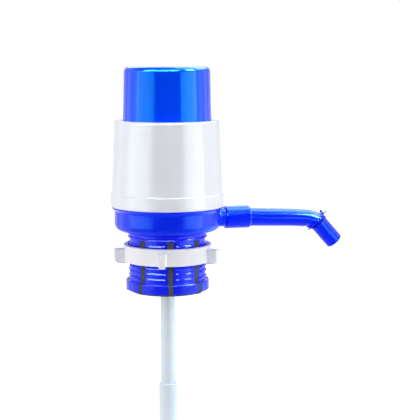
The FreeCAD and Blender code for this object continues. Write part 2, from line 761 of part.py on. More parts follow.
def spout_tube():
    """The spout: a socket over the outlet stub, a tapered bent tube and the flange at the seam."""
    along = Vector(1, 0, 0)
    outlet = Vector(0, 0, outlet_height)
    socket = Part.makeCylinder(socket_radius, socket_end - socket_start, outlet + along * socket_start, along)
    nose_edges = [edge for edge in socket.Edges if edge.BoundBox.XMin > socket_end - 0.1]
    back_edges = [edge for edge in socket.Edges if edge.BoundBox.XMax < socket_start + 0.1]
    socket = socket.makeFillet(min(socket_nose_round, socket_floor - 0.1), nose_edges)
    back_edges = [edge for edge in socket.Edges if edge.BoundBox.XMax < socket_start + 0.1]
    socket = socket.makeFillet(0.6, back_edges)
    tube = swept_round(socket_floor / 2, spout_root_radius, spout_tip_radius)
    bore = swept_round(socket_floor + 1, spout_bore_radius, spout_bore_radius)
    centre = seam_centre()
    beyond = disc_along_nozzle(centre, 0, 4 * spout_cut_allowance, 4 * spout_root_radius)
    flange = disc_along_nozzle(centre, -seam_flange_thickness, 0, seam_flange_radius)
    start = nozzle_start()
    spigot_radius_out = nozzle_bore_radius - spout_fit_clearance
    spigot = disc_along_nozzle(start, -seam_flange_thickness, seam_spigot_length, spigot_radius_out)
    spigot_bore = disc_along_nozzle(start, -seam_flange_thickness - 1, seam_spigot_length + 1,
                                    spigot_radius_out - seam_spigot_wall)
    solid = socket.fuse(tube).cut(beyond).fuse([flange, spigot])
    stub_bore = Part.makeCylinder(socket_bore_radius, socket_end - socket_floor - socket_start + 1,
                                  outlet + along * (socket_start - 1), along)
    groove_width = stub_bead_width + 2 * spout_end_gap
    groove_start = outlet + along * (stub_bead_reach - groove_width / 2)
    bead_groove = Part.makeCylinder(socket_bore_radius + stub_bead_height, groove_width, groove_start, along)
    return solid.cut([stub_bore, bead_groove, bore.cut(beyond), spigot_bore])


def nozzle():
    """The outlet pipe, with a neck and a rim at the seam and a rounded end."""
    start = nozzle_start()
    first = nozzle_seal_thickness
    rim_start = first + nozzle_neck_length
    pipe = disc_along_nozzle(start, first, nozzle_length, nozzle_radius)
    end = start + nozzle_direction() * nozzle_length
    end_edges = []
    for edge in pipe.Edges:
        if edge.BoundBox.Center.distanceToPoint(end) < 0.5:
            end_edges.append(edge)
    pipe = pipe.makeFillet(nozzle_end_round, end_edges)
    neck_groove = disc_along_nozzle(start, first, rim_start, nozzle_radius + 2)
    neck_core = disc_along_nozzle(start, first, rim_start, nozzle_radius - tie_wall)
    rim = disc_along_nozzle(start, rim_start, rim_start + nozzle_rim_thickness, nozzle_rim_radius)
    bore = disc_along_nozzle(start, -1, nozzle_length + 1, nozzle_bore_radius)
    return pipe.cut(neck_groove.cut(neck_core)).fuse(rim).cut(bore)


def nozzle_seal():
    """The rubber washer between the spout's flange and the nozzle."""
    start = nozzle_start()
    disc = disc_along_nozzle(start, 0, nozzle_seal_thickness, nozzle_radius - tie_wall)
    hole = disc_along_nozzle(start, -1, nozzle_seal_thickness + 1, nozzle_bore_radius)
    return disc.cut(hole)


def on_seam(rise, along):
    """A point above the seam's centre by a rise up the slant, and along the nozzle."""
    slope = math.radians(nozzle_angle)
    upward = Vector(math.sin(slope), 0, math.cos(slope))
    return seam_centre() + upward * rise + nozzle_direction() * along


def rod(radius, start, finish):
    """A round rod between two points, with round ends."""
    bar = Part.makeCylinder(radius, start.distanceToPoint(finish), start, finish - start)
    return bar.fuse([Part.makeSphere(radius, start), Part.makeSphere(radius, finish)])


def nozzle_tie():
    """The band round the nozzle's neck, with its knot over the flange and the end of its tail."""
    start = nozzle_start()
    middle = nozzle_seal_thickness + nozzle_neck_length / 2
    first = middle - tie_width / 2
    last = middle + tie_width / 2
    band_bore = nozzle_radius - tie_wall + tie_clearance
    band_radius = band_bore + tie_wall
    band = disc_along_nozzle(start, first, last, band_radius).cut(
        disc_along_nozzle(start, first - 1, last + 1, band_bore))
    band_top = on_seam(nozzle_offset + band_bore + tie_tail_radius, middle)
    knot_rise = seam_flange_radius + tie_tail_radius + tie_knot_clearance
    knot = on_seam(knot_rise, 0)
    head = on_seam(knot_rise, -tie_head_reach)
    tail_slope = math.radians(tie_tail_angle)
    tail_end = knot + Vector(math.cos(tail_slope), 0, math.sin(tail_slope)) * tie_tail_length
    tag_root = nozzle_offset - band_bore - tie_wall / 2
    points = [on_seam(tag_root, first), on_seam(tag_root, last), on_seam(-tie_tag_reach, last - tie_width / 4),
              on_seam(-tie_tag_reach, middle), on_seam(tag_root, first)]
    tag = Part.Face(Part.makePolygon(points)).extrude(Vector(0, tie_tag_width, 0))
    tag.translate(Vector(0, -tie_tag_width / 2, 0))
    pieces = [rod(tie_tail_radius, band_top, knot), rod(tie_tail_radius, knot, head),
              rod(tie_tail_radius, knot, tail_end), Part.makeSphere(tie_head_radius, head), tag]
    return band.fuse(pieces)


def save(name, shape):
    """Write one piece, and say how large it is."""
    shape.exportStep("parts/" + name + ".step")
    print(name, "solids", len(shape.Solids), "volume", round(shape.Volume, 1), "valid", shape.isValid())


os.makedirs("parts", exist_ok=True)
first_joint = hub_seat_rise - dip_section_length - coupler_stop / 2
second_joint = first_joint - dip_section_length - coupler_stop
save("push_cap", push_cap())
save("bellows_top_ring", bellows_top_ring())
save("cap_screws", cap_screws())
save("inlet_valve", valve_disc(cap_roof_bottom))
save("bellows", bellows())
save("return_spring", return_spring())
save("outer_sleeve", outer_sleeve())
save("bellows_clamp_ring", bellows_clamp_ring())
save("base_deck", base_deck())
save("deck_seal", deck_seal())
save("deck_screws", deck_screws())
save("delivery_valve", valve_disc(deck_bottom))
save("base_chamber", base_chamber())
save("outlet_seals", outlet_seals())
save("tube_seal", tube_seal())
save("neck_collar", neck_collar())
save("neck_gasket", neck_gasket())
save("lip_washer", lip_washer())
save("clamp_ring", clamp_ring())
save("spout_tube", spout_tube())
save("nozzle", nozzle())
save("nozzle_seal", nozzle_seal())
save("nozzle_tie", nozzle_tie())
save("dip_tube_upper", dip_tube(hub_seat_rise, dip_section_length, False))
save("tube_coupler_upper", tube_coupler(first_joint))
save("dip_tube_middle", dip_tube(first_joint - coupler_stop / 2, dip_section_length, False))
save("tube_coupler_lower", tube_coupler(second_joint))
save("dip_tube_lower", dip_tube(second_joint - coupler_stop / 2, dip_section_length, True))
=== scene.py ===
# %% [markdown]
# # A hand pump for a water jug
# This lesson dresses a small pump that sits on the neck of a five-gallon water bottle. A palm
# presses the blue cap, a bellows inside pushes air into the bottle, and the air lifts the water
# up a dip tube and out through the spout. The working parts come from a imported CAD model, with
# their real sizes and joints. Here each visible part gets a smooth skin and a finish of its own.

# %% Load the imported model
import math
import bmesh
import bpy
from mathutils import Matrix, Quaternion, Vector


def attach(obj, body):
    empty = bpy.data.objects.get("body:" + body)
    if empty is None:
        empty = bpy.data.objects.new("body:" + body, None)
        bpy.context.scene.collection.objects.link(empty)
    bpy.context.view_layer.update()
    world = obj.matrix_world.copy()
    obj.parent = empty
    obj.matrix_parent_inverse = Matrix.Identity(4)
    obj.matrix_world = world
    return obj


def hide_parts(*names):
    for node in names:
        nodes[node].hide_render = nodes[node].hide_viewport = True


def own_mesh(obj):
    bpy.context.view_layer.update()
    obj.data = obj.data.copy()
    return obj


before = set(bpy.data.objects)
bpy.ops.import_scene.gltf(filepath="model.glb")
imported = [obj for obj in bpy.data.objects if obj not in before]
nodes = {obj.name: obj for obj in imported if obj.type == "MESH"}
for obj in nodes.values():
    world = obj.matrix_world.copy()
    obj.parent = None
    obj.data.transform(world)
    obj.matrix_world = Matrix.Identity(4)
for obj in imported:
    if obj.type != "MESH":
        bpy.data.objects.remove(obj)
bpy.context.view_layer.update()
MM = 0.001

# %% [markdown]
# ## Round corners on an outline
# Moulded plastic never has a knife edge. An outline is a list of corners in millimetres, each
# with a rounding. The helper swaps a rounded corner for points on an arc that is tangent to both
# sides. A bevel modifier could do it later, but on an outline the radius is exact. Each long
# straight run also gets a point near both ends, so that smooth shading stays flat along it.

# %% A helper for outlines
ARC_STEPS = 6
HOLD = 0.25


def held(points, closed=True):
    """The same outline with a point close to each end of a long straight run."""
    full = []
    for index, here in enumerate(points):
        following = points[(index + 1) % len(points)]
        full.append(here)
        if not closed and index == len(points) - 1:
            break
        run = following - here
        if run.length > 6 * HOLD and here.x + following.x > 0:
            full.append(here + run.normalized() * HOLD)
            full.append(following - run.normalized() * HOLD)
    return full


def rounded(corners, closed=True):
    """Points (across, up) of an outline, with an arc at each corner that has a rounding."""
    points = []
    for index, (across, up, rounding) in enumerate(corners):
        here = Vector((across, up))
        if rounding == 0:
            points.append(here)
            continue
        before = (Vector(corners[index - 1][:2]) - here).normalized()
        after = (Vector(corners[(index + 1) % len(corners)][:2]) - here).normalized()
        half_turn = before.angle(after) / 2
        reach = rounding / math.tan(half_turn)
        centre = here + (before + after).normalized() * (rounding / math.sin(half_turn))
        start = here + before * reach - centre
        finish = here + after * reach - centre
        for step in range(ARC_STEPS + 1):
            spoke = start.slerp(finish, step / ARC_STEPS) * rounding
            points.append(centre + spoke)
    return held(points, closed)


print("a rounded square has", len(rounded([(0, 0, 1), (9, 0, 1), (9, 9, 1), (0, 9, 1)])), "points")

# %% [markdown]
# ## From a shape to a piece
# A bmesh is a mesh in the making. Points and faces are added to it freely, and when it is ready
# it becomes an object. Smooth shading alone would blur the clear edges of a moulded part, so every
# edge where two faces meet at a clear angle is kept sharp.

# %% A helper that finishes a shape
SHARP_ANGLE = math.radians(32)


def shade(shape):
    """Smooth shading, with an edge kept sharp where two faces meet at a clear angle."""
    for face in shape.faces:
        face.smooth = True
    for edge in shape.edges:
        if len(edge.link_faces) == 2:
            edge.smooth = edge.calc_face_angle(0) < SHARP_ANGLE


def make_piece(name, shape):
    """Turn a bmesh into an object in the scene, smooth and with its normals outwards."""
    bmesh.ops.recalc_face_normals(shape, faces=shape.faces)
    shade(shape)
    mesh = bpy.data.meshes.new(name)
    shape.to_mesh(mesh)
    shape.free()
    piece = bpy.data.objects.new(name, mesh)
    bpy.context.scene.collection.objects.link(piece)
    return piece


print("edges stay sharp from", round(math.degrees(SHARP_ANGLE)), "degrees")

# %% [markdown]
# ## Join rings into a skin
# Nearly every part of the pump is round: lathe-turned cups, bent tubes, washers. So one helper
# carries the whole lesson. It takes a list of rings, each with a centre and two radius vectors,
# and joins each ring to the next with quads. A ring of no size becomes a single point.

# %% A helper that skins rings
TURNS = 128
UP = Vector((0, 0, 1))


def bridge(shape, here, following):
    """Join two loops of points with quads, or with triangles where one of them is a single point."""
    count = max(len(here), len(following))
    if count == 1:
        return
    for step in range(count):
        after = (step + 1) % count
        if len(here) == 1:
            shape.faces.new((here[0], following[step], following[after]))
        elif len(following) == 1:
            shape.faces.new((here[step], here[after], following[0]))
        else:
            shape.faces.new((here[step], here[after], following[after], following[step]))


def add_rings(shape, rings, turns=TURNS, closed=True):
    """Add one skin to a bmesh. A ring is (centre, side, up) in millimetres."""
    loops = []
    for centre, side, up in rings:
        if side.length < 1e-6:
            loops.append([shape.verts.new(centre * MM)])
            continue
        loop = []
        for step in range(turns):
            angle = 2 * math.pi * step / turns
            point = centre + side * math.cos(angle) + up * math.sin(angle)
            loop.append(shape.verts.new(point * MM))
        loops.append(loop)
    for index in range(len(loops) if closed else len(loops) - 1):
        bridge(shape, loops[index], loops[(index + 1) % len(loops)])


print("skins have", TURNS, "steps to a turn")

# %% [markdown]
# A lathe turns an outline about an axis, and so does the Spin tool. With the rings above it takes
# two short helpers, and the axis can lean, as the stub's and the nozzle's do.

# %% A helper that turns an outline
AXIS_FOOT = Vector((0, 0, 0))


def turned_rings(corners, base=AXIS_FOOT, axis=UP, closed=True):
    """Rings of an outline (radius, distance along the axis) turned about an axis in the XZ plane."""
    side = Vector((0, 1, 0))
    up = axis.cross(side)
    return [(base + axis * point.y, side * point.x, up * point.x) for point in rounded(corners, closed)]


def add_turned(shape, corners, base=AXIS_FOOT, axis=UP, turns=TURNS):
    """Add a lathe-turned skin to a bmesh."""
    add_rings(shape, turned_rings(corners, base, axis), turns)


print("a turned square has", len(turned_rings([(1, 0, 0), (2, 0, 0), (2, 1, 0), (1, 1, 0)])), "rings")

# %% [markdown]
# ## Finish: glossy and matte moulded plastic
# The cap, base, spout and sleeve are injection moulded in polypropylene or ABS. Up close such a
# surface has three things: a colour that drifts a little where the melt flowed, a gloss that
# isn't even, and a faint waviness that bends reflections. One recipe gives all three from
# procedural noise, at three scales, and each finish picks its own amounts. It also says how
# strongly the gloss mirrors a window, and in what tint, so that a bright band stays blue. First
# come the small helpers that add one kind of node each.

# %% Helpers for the nodes of a surface
NOISE_LOW = 0.3
NOISE_HIGH = 0.7


def noise(tree, scale, detail=2.0):
    """A noise texture in the piece's own coordinates, in cycles to the metre."""
    coordinates = tree.nodes.new("ShaderNodeTexCoord")
    texture = tree.nodes.new("ShaderNodeTexNoise")
    texture.inputs["Scale"].default_value = scale
    texture.inputs["Detail"].default_value = detail
    tree.links.new(coordinates.outputs["Object"], texture.inputs["Vector"])
    return texture.outputs["Fac"]


def drift(tree, value, low, high):
    """Map a noise value onto a range, such as a range of roughness."""
    spread = tree.nodes.new("ShaderNodeMapRange")
    spread.inputs["From Min"].default_value = NOISE_LOW
    spread.inputs["From Max"].default_value = NOISE_HIGH
    spread.inputs["To Min"].default_value = low
    spread.inputs["To Max"].default_value = high
    tree.links.new(value, spread.inputs["Value"])
    return spread.outputs["Result"]


def blend_colours(tree, value, first, second):
    """A colour that drifts between two shades."""
    mix = tree.nodes.new("ShaderNodeMix")
    mix.data_type = "RGBA"
    mix.inputs["A"].default_value = (*first, 1)
    mix.inputs["B"].default_value = (*second, 1)
    tree.links.new(value, mix.inputs["Factor"])
    return mix.outputs["Result"]


print("most of the noise lies from", NOISE_LOW, "to", NOISE_HIGH)

# %% [markdown]
# Now the recipe itself. Three noises feed the colour, the roughness and a bump. Painted images
# could do it as well, but noise has no seams on a turned skin and stays fine up close.

# %% A recipe for moulded plastic
FLOW_SCALE = 35.0
GRAIN_SCALE = 900.0
GRAIN_DEPTH = 0.0004
PLASTIC_IOR = 1.35


def moulded(name, dark, light, gloss, flow_scale=FLOW_SCALE, grain_scale=GRAIN_SCALE, grain=0.02,
            mirror=0.5, tint=(1, 1, 1), extras=()):
    """A moulded plastic or rubber. gloss is the roughness from the shiniest spot to the dullest."""
    material = bpy.data.materials.new(name)
    material.use_nodes = True
    tree = material.node_tree
    shader = tree.nodes["Principled BSDF"]
    flow = drift(tree, noise(tree, flow_scale), 0.0, 1.0)
    tree.links.new(blend_colours(tree, flow, dark, light), shader.inputs["Base Color"])
    tree.links.new(drift(tree, noise(tree, flow_scale * 3), *gloss), shader.inputs["Roughness"])
    bump = tree.nodes.new("ShaderNodeBump")
    bump.inputs["Strength"].default_value = grain
    bump.inputs["Distance"].default_value = GRAIN_DEPTH
    tree.links.new(noise(tree, grain_scale, 3.0), bump.inputs["Height"])
    tree.links.new(bump.outputs["Normal"], shader.inputs["Normal"])
    shader.inputs["IOR"].default_value = PLASTIC_IOR
    shader.inputs["Specular IOR Level"].default_value = mirror
    shader.inputs["Specular Tint"].default_value = (*tint, 1)
    for socket, value in extras:
        shader.inputs[socket].default_value = value
    return material


print("the colour drifts over", round(1 / FLOW_SCALE / MM), "mm, the grain over",
      round(1 / GRAIN_SCALE / MM, 1), "mm")

# %% [markdown]
# The pump's blues aren't one blue. The cap is the glossiest, the base is duller, the collar has a
# trace of violet, and the spout mirrors the windows most. Each is a finish of its own, so that
# each can be tuned alone. The sleeve is a glossy cool white, and the clamp ring a dull, grainy one.

# %% Moulded plastics
cap_blue = moulded("cap blue gloss", (0.0, 0.034, 0.88), (0.0, 0.044, 0.96), (0.08, 0.12),
                   tint=(0.05, 0.86, 0.6))
spout_blue = moulded("spout blue gloss", (0.0, 0.001, 0.88), (0.0, 0.004, 0.96), (0.11, 0.15),
                     grain=0.002, mirror=0.7, tint=(0.08, 0.42, 0.8))
base_blue = moulded("base blue gloss", (0.0, 0.010, 0.80), (0.001, 0.018, 0.90), (0.15, 0.22),
                    tint=(0.14, 0.50, 0.5))
collar_blue = moulded("collar deep blue", (0.004, 0.009, 0.80), (0.008, 0.014, 0.90), (0.12, 0.18),
                      flow_scale=60.0, grain=0.01, mirror=0.4, tint=(0.28, 0.46, 0.6))
sleeve_white = moulded("sleeve white gloss", (0.72, 0.735, 0.78), (0.76, 0.775, 0.82), (0.16, 0.24))
ring_white = moulded("clamp ring white", (0.85, 0.84, 0.86), (0.89, 0.88, 0.90), (0.42, 0.55),
                     grain=0.12, grain_scale=1400.0, mirror=0.05)
print("plastics:", [plastic.name for plastic in (cap_blue, spout_blue, base_blue, collar_blue,
                                                 sleeve_white, ring_white)])

# %% [markdown]
# ## Finish: rubber, valve rubber and the parts inside
# The sleeve on the bottle's neck is black rubber with a fine dull grain. The valve discs are
# pale silicone. The deck and the clamp rings are unpolished white plastic. All of them are the
# moulded recipe again, with a rougher gloss and a stronger grain. Silicone, the bellows and the
# milky dip tube let some light in, which a little subsurface scattering shows.

# %% Rubber and inner plastics
black_rubber = moulded("neck rubber", (0.010, 0.013, 0.018), (0.018, 0.021, 0.027), (0.48, 0.62),
                       grain=0.25, grain_scale=2200.0, mirror=0.2)
valve_rubber = moulded("valve silicone", (0.66, 0.66, 0.62), (0.72, 0.72, 0.69), (0.38, 0.50),
                       grain=0.08, extras=[("Subsurface Weight", 0.15), ("Subsurface Scale", 0.002)])
inner_white = moulded("inner white plastic", (0.72, 0.72, 0.71), (0.78, 0.78, 0.77), (0.40, 0.52),
                      grain=0.10)
bellows_skin = moulded("bellows skin", (0.56, 0.64, 0.74), (0.62, 0.70, 0.79), (0.32, 0.44),
                       grain=0.06, extras=[("Subsurface Weight", 0.2), ("Subsurface Scale", 0.003)])
tie_blue = moulded("tie deep blue", (0.0, 0.004, 0.50), (0.0, 0.010, 0.60), (0.30, 0.42),
                   mirror=0.2, tint=(0.1, 0.3, 1.0))
# The tail's paler blue is a painted highlight, where the tail catches more light.
tail_highlight_blue = moulded("tie tail painted highlight blue", (0.0, 0.16, 0.72), (0.0, 0.22, 0.80), (0.25, 0.35))
milky = moulded("milky dip tube", (0.66, 0.72, 0.78), (0.72, 0.77, 0.82), (0.26, 0.36),
                flow_scale=18.0, extras=[("Subsurface Weight", 0.2), ("Subsurface Scale", 0.004)])
print("rubbers and inner plastics:", [soft.name for soft in (black_rubber, valve_rubber, inner_white,
                                                             bellows_skin, tie_blue, tail_highlight_blue, milky)])

# %% [markdown]
# ## Finish: drawn steel
# The return spring and the screws are stainless steel. Wire is drawn through a die, which leaves
# fine streaks, so the roughness changes quickly along the piece instead of drifting slowly.

# %% Steel
steel = moulded("drawn steel", (0.50, 0.51, 0.53), (0.62, 0.63, 0.65), (0.18, 0.34), flow_scale=400.0,
                grain=0.06, grain_scale=3000.0, extras=[("Metallic", 1.0)])
print("materials so far:", len(bpy.data.materials))

# %% [markdown]
# ## Dress the CAD parts
# A CAD part whose shape is already right only needs its finish. Those are the gasket, the washer,
# the dip tubes with their couplers, the seals, screws and valve discs, and the deck with the rings
# that hold the bellows. The parts that get a skin further on are dressed here as well, so that no
# CAD part is bare.

# %% Finishes for the CAD parts
finishes = {
    "neck_gasket": black_rubber, "lip_washer": black_rubber, "deck_seal": black_rubber,
    "outlet_seals": black_rubber, "tube_seal": black_rubber, "nozzle_seal": black_rubber,
    "inlet_valve": valve_rubber, "delivery_valve": valve_rubber, "base_deck": inner_white,
    "bellows_top_ring": inner_white, "bellows_clamp_ring": inner_white, "cap_screws": steel,
    "deck_screws": steel, "dip_tube_upper": milky, "dip_tube_middle": milky,
    "dip_tube_lower": milky, "tube_coupler_upper": milky, "tube_coupler_lower": milky,
    "push_cap": cap_blue, "bellows": bellows_skin, "return_spring": steel,
    "outer_sleeve": sleeve_white, "base_chamber": base_blue, "neck_collar": collar_blue,
    "clamp_ring": ring_white, "spout_tube": spout_blue, "nozzle": spout_blue, "nozzle_tie": tie_blue,
}
for node_name, node in nodes.items():
    node.data.materials.clear()
    node.data.materials.append(finishes[node_name])
print("dressed", len(nodes), "CAD parts")

# %% [markdown]
# ## Set a finished piece in its place
# Each new skin stands for one CAD part, rides on that part's body and takes its finish, and the
# CAD part is hidden. One helper does all three, so that no piece is left behind when the pump
# moves.

# %% A helper that sets a piece in place
def set_piece(piece, material, body, node_name):
    """Give a piece its finish and its body, and hide the CAD part that it stands for."""
    piece.data.materials.append(material)
    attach(piece, body)
    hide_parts(node_name)
    print(piece.name, "has", len(piece.data.polygons), "faces")


print("finishes in use:", len({finish.name for finish in finishes.values()}), "for", len(finishes), "parts")

# %% [markdown]
# ## The outer sleeve
# The white housing is a tapered tube with a low band at its foot and a lip at the top that keeps
# the cap in. A cylinder could be tapered and given a thickness, but its band and its lip would
# have to be added. As an outline for the lathe, all of it is one list of corners.

# %% Turn the sleeve
sleeve_foot = 27.5
sleeve_top = 103.3
sleeve_top_radius = 46.5
sleeve_wall = 2.4
band_radius = 50.4
band_top = sleeve_foot + 11.5
band_step = 0.9
lip_radius = 39.75
lip_foot = sleeve_top - 2.2
sleeve_shape = bmesh.new()
add_turned(sleeve_shape, [
    (band_radius - sleeve_wall, sleeve_foot, 0.3), (band_radius, sleeve_foot, 1.2),
    (band_radius, band_top, 0.3), (band_radius - band_step, band_top + band_step, 0.3),
    (sleeve_top_radius, sleeve_top, 2.0), (lip_radius, sleeve_top, 0.8),
    (lip_radius, lip_foot, 0.4), (sleeve_top_radius - sleeve_wall, lip_foot, 0.6),
    (band_radius - band_step - sleeve_wall, band_top + band_step, 0),
    (band_radius - sleeve_wall, band_top, 0)])
set_piece(make_piece("sleeve_skin", sleeve_shape), sleeve_white, "base", "outer_sleeve")

# %% [markdown]
# ## Drill holes
# The cap and the base have round ports for the air. The tool for that is the Boolean modifier,
# applied at once, with turned pins as cutters. The edges are sharpened again afterwards, because
# the cut makes new ones.

# %% A helper that drills
PIN_TURNS = 32
PIN_OVERSHOOT = 1.0


def drill(piece, cutter_shape):
    """Cut a bmesh of pins out of a piece, for good."""
    cutter = make_piece("cutter", cutter_shape)
    cut = piece.modifiers.new("ports", "BOOLEAN")
    cut.object = cutter
    cut.solver = "EXACT"
    bpy.context.view_layer.update()
    graph = bpy.context.evaluated_depsgraph_get()
    mesh = bpy.data.meshes.new_from_object(piece.evaluated_get(graph))
    piece.modifiers.clear()
    bpy.data.objects.remove(cutter)
    shape = bmesh.new()
    shape.from_mesh(mesh)
    bmesh.ops.remove_doubles(shape, verts=shape.verts, dist=1e-6)
    shade(shape)
    shape.to_mesh(mesh)
    shape.free()
    piece.data = mesh


def ports(count, circle, radius, bottom, top, first_turn=0.0):
    """Pins in a circle, to drill a ring of ports with. They reach past both faces of the wall."""
    low = bottom - PIN_OVERSHOOT
    high = top + PIN_OVERSHOOT
    shape = bmesh.new()
    for number in range(count):
        turn = math.radians(first_turn + 360 * number / count)
        base = Vector((circle * math.cos(turn), circle * math.sin(turn), 0))
        add_turned(shape, [(0, low, 0), (radius, low, 0), (radius, high, 0), (0, high, 0)],
                   base, turns=PIN_TURNS)
    return shape


print("pins have", PIN_TURNS, "sides and reach", PIN_OVERSHOOT, "mm past the wall")

# %% [markdown]
# ## The push cap
# The palm presses this deep glossy thimble. Its foot has a collar that stops under the sleeve's
# lip, and six small ports in its roof let air in. Under the roof are the land for the bellows,
# the ring that centres the spring and the headed pin for the inlet valve. All of them are round
# about one axis, so the cap is one outline and a ring of drilled ports.

# %% Turn the cap
cap_top = 149.9
cap_wall = 2.0
roof = cap_top - 2.2
top_radius = 37.8
foot_radius = 39.2
stop_radius = 42.5
stop_top = lip_foot - 0.3
stop_foot = stop_top - 2.5
cap_foot = stop_top - 14.5
land_radius = 32.2
land_foot = roof - 3.8
centring_radius = 10.8
centring_bore = 9.6
centring_foot = roof - 2.5
pin_radius = 1.5
pin_head_radius = 2.7
pin_head_foot = roof - 3.6
pin_head_top = pin_head_foot + 1.2
cap_shape = bmesh.new()
add_turned(cap_shape, [
    (0, cap_top, 0), (top_radius, cap_top, 4.0), (foot_radius, stop_top, 0),
    (stop_radius, stop_top, 0.5), (stop_radius, stop_foot, 0.5), (foot_radius, stop_foot, 0),
    (foot_radius, cap_foot, 0.6), (foot_radius - cap_wall, cap_foot, 0.6),
    (foot_radius - cap_wall, stop_foot, 0), (top_radius - cap_wall, land_foot, 0),
    (land_radius, land_foot, 0.3), (land_radius, roof, 0.5), (centring_radius, roof, 0.4),
    (centring_radius, centring_foot, 0.3), (centring_bore, centring_foot, 0.3),
    (centring_bore, roof, 0), (pin_radius, roof, 0), (pin_radius, pin_head_top, 0),
    (pin_head_radius, pin_head_top, 0.3), (pin_head_radius, pin_head_foot, 0.4),
    (0, pin_head_foot, 0)])
cap_skin = make_piece("cap_skin", cap_shape)
drill(cap_skin, ports(count=6, circle=5.2, radius=1.3, bottom=roof, top=cap_top))
set_piece(cap_skin, cap_blue, "cap", "push_cap")

# %% [markdown]
# ## The base chamber
# The blue bowl under the sleeve collects the air, and carries the outlet stub to one side and the
# hub for the dip tube in the middle. Each of them is turned about its own axis, and the skins
# overlap inside one another as a weld would. First comes the bowl, from the spigot that stands on
# the washer, out to the lip under the sleeve, and back inside. Its skirt reaches a little lower
# than its floor, over the head of the collar.

# %% Turn the bowl
washer_bore = 21.0
spigot_radius = 29.9
spigot_foot = 2.4
bowl_foot = 6.8
bowl_floor = 9.2
bowl_radius = 46.9
base_wall = 2.4
bowl_inside = bowl_radius - base_wall
skirt_bore = 33.6
skirt_foot = 6.1
skirt_round = 0.1
flare_foot = 24.0
bowl_lip = 49.4
bowl_lip_foot = 26.3
rim_radius = 47.8
rim_top = 35.0
shelf_radius = 43.1
bowl_outline = [
    (washer_bore, spigot_foot, 0.3), (spigot_radius, spigot_foot, 0.4), (spigot_radius, bowl_foot, 0),
    (skirt_bore, bowl_foot, 0), (skirt_bore, skirt_foot, skirt_round), (bowl_radius, skirt_foot, 6.2),
    (bowl_radius, flare_foot, 2.0), (bowl_lip, bowl_lip_foot, 0.3), (bowl_lip, sleeve_foot, 0.3),
    (rim_radius, sleeve_foot, 0), (rim_radius, rim_top, 0.6), (rim_radius - base_wall, rim_top, 0.4),
    (rim_radius - base_wall, sleeve_foot, 0), (shelf_radius, sleeve_foot, 0),
    (shelf_radius, bowl_lip_foot, 0), (bowl_inside, bowl_lip_foot - (bowl_inside - shelf_radius), 0),
    (bowl_inside, bowl_floor, 3.8), (0, bowl_floor, 0), (0, bowl_foot, 0), (washer_bore, bowl_foot, 0)]
bowl_shape = bmesh.new()
add_turned(bowl_shape, bowl_outline)
bowl_skin = make_piece("base_skin", bowl_shape)
drill(bowl_skin, ports(count=6, circle=15.0, radius=2.5, bottom=bowl_foot, top=bowl_floor,
                       first_turn=30.0))
print("the bowl has", len(bowl_skin.data.polygons), "faces")

# %% [markdown]
# The outlet stub points sideways. The spout's socket slides over its slimmer nose, which has two
# grooves for the O-rings and a low bead between them that the socket clicks over. It is an
# outline too, turned about an axis along the spout.

# %% Outline of the outlet stub
ALONG_SPOUT = Vector((1, 0, 0))
outlet_height = 15.2
outlet = Vector((0, 0, outlet_height))
outlet_bore = 5.4
stub_start = 7.0
stub_radius = 8.2
stub_shoulder = 53.0
nose_radius = 7.5
nose_end = 72.9
groove_floor = 6.15
groove_half = 0.7
bead_radius = nose_radius + 0.4
bead_start = 63.0
bead_end = 64.0


def groove(middle):
    """Corners of the groove for an O-ring."""
    return [(nose_radius, middle - groove_half, 0.1), (groove_floor, middle - groove_half, 0),
            (groove_floor, middle + groove_half, 0), (nose_radius, middle + groove_half, 0.1)]


stub_outline = [(outlet_bore, stub_start, 0), (stub_radius, stub_start, 0),
                (stub_radius, stub_shoulder, 0.15), (nose_radius, stub_shoulder, 0)]
stub_outline += groove(58.5)
stub_outline += [(nose_radius, bead_start, 0), (bead_radius, bead_start, 0.15),
                 (bead_radius, bead_end, 0.15), (nose_radius, bead_end, 0)]
stub_outline += groove(68.5)
stub_outline += [(nose_radius, nose_end, 0.8), (outlet_bore, nose_end, 0.3)]
print("the stub's outline has", len(stub_outline), "corners")

# %% [markdown]
# Only the joint where the stub leaves the bowl shows. Two round forms cross there at an angle that
# changes all the way round, which a bevel does badly. So the fillet is a skin of its own. At each
# step round the stub it looks up where the bowl is, and bends from the stub to the bowl with the
# corner between them as the handle of the curve.

# %% A fillet round the stub
FILLET_STEPS = 5
FILLET_RETURN = 0.5


def across_at(outline, height):
    """How far out the outer side of an outline is at a height."""
    points = rounded(outline)
    furthest = 0
    for index, here in enumerate(points):
        following = points[(index + 1) % len(points)]
        low, high = sorted((here, following), key=lambda point: point.y)
        if low.y <= height <= high.y and high.y > low.y:
            share = (height - low.y) / (high.y - low.y)
            furthest = max(furthest, low.x + (high.x - low.x) * share)
    return furthest


def point_on_bowl(reach, turn):
    """The point of the bowl that is a reach away from the stub's axis."""
    side = reach * math.cos(turn)
    height = max(outlet_height + reach * math.sin(turn), skirt_foot + skirt_round)
    across = across_at(bowl_outline, height)
    return Vector((math.sqrt(across ** 2 - side ** 2), side, height))


def add_stub_fillet(shape, radius, size):
    """The fillet between the bowl and the stub, and a hidden return that closes it."""
    loops = []
    for step in range(FILLET_STEPS + 2):
        share = step / FILLET_STEPS
        loop = []
        for number in range(TURNS):
            turn = 2 * math.pi * number / TURNS
            corner = point_on_bowl(radius, turn)
            on_stub = corner + ALONG_SPOUT * size
            on_bowl = point_on_bowl(radius + size, turn)
            point = on_stub * (1 - share) ** 2 + corner * 2 * share * (1 - share) + on_bowl * share ** 2
            if step == FILLET_STEPS + 1:
                point = corner - ALONG_SPOUT * FILLET_RETURN
            loop.append(shape.verts.new(point * MM))
        loops.append(loop)
    for index, loop in enumerate(loops):
        bridge(shape, loop, loops[(index + 1) % len(loops)])


print("the bowl is", round(across_at(bowl_outline, outlet_height), 1), "mm out at the stub's height")

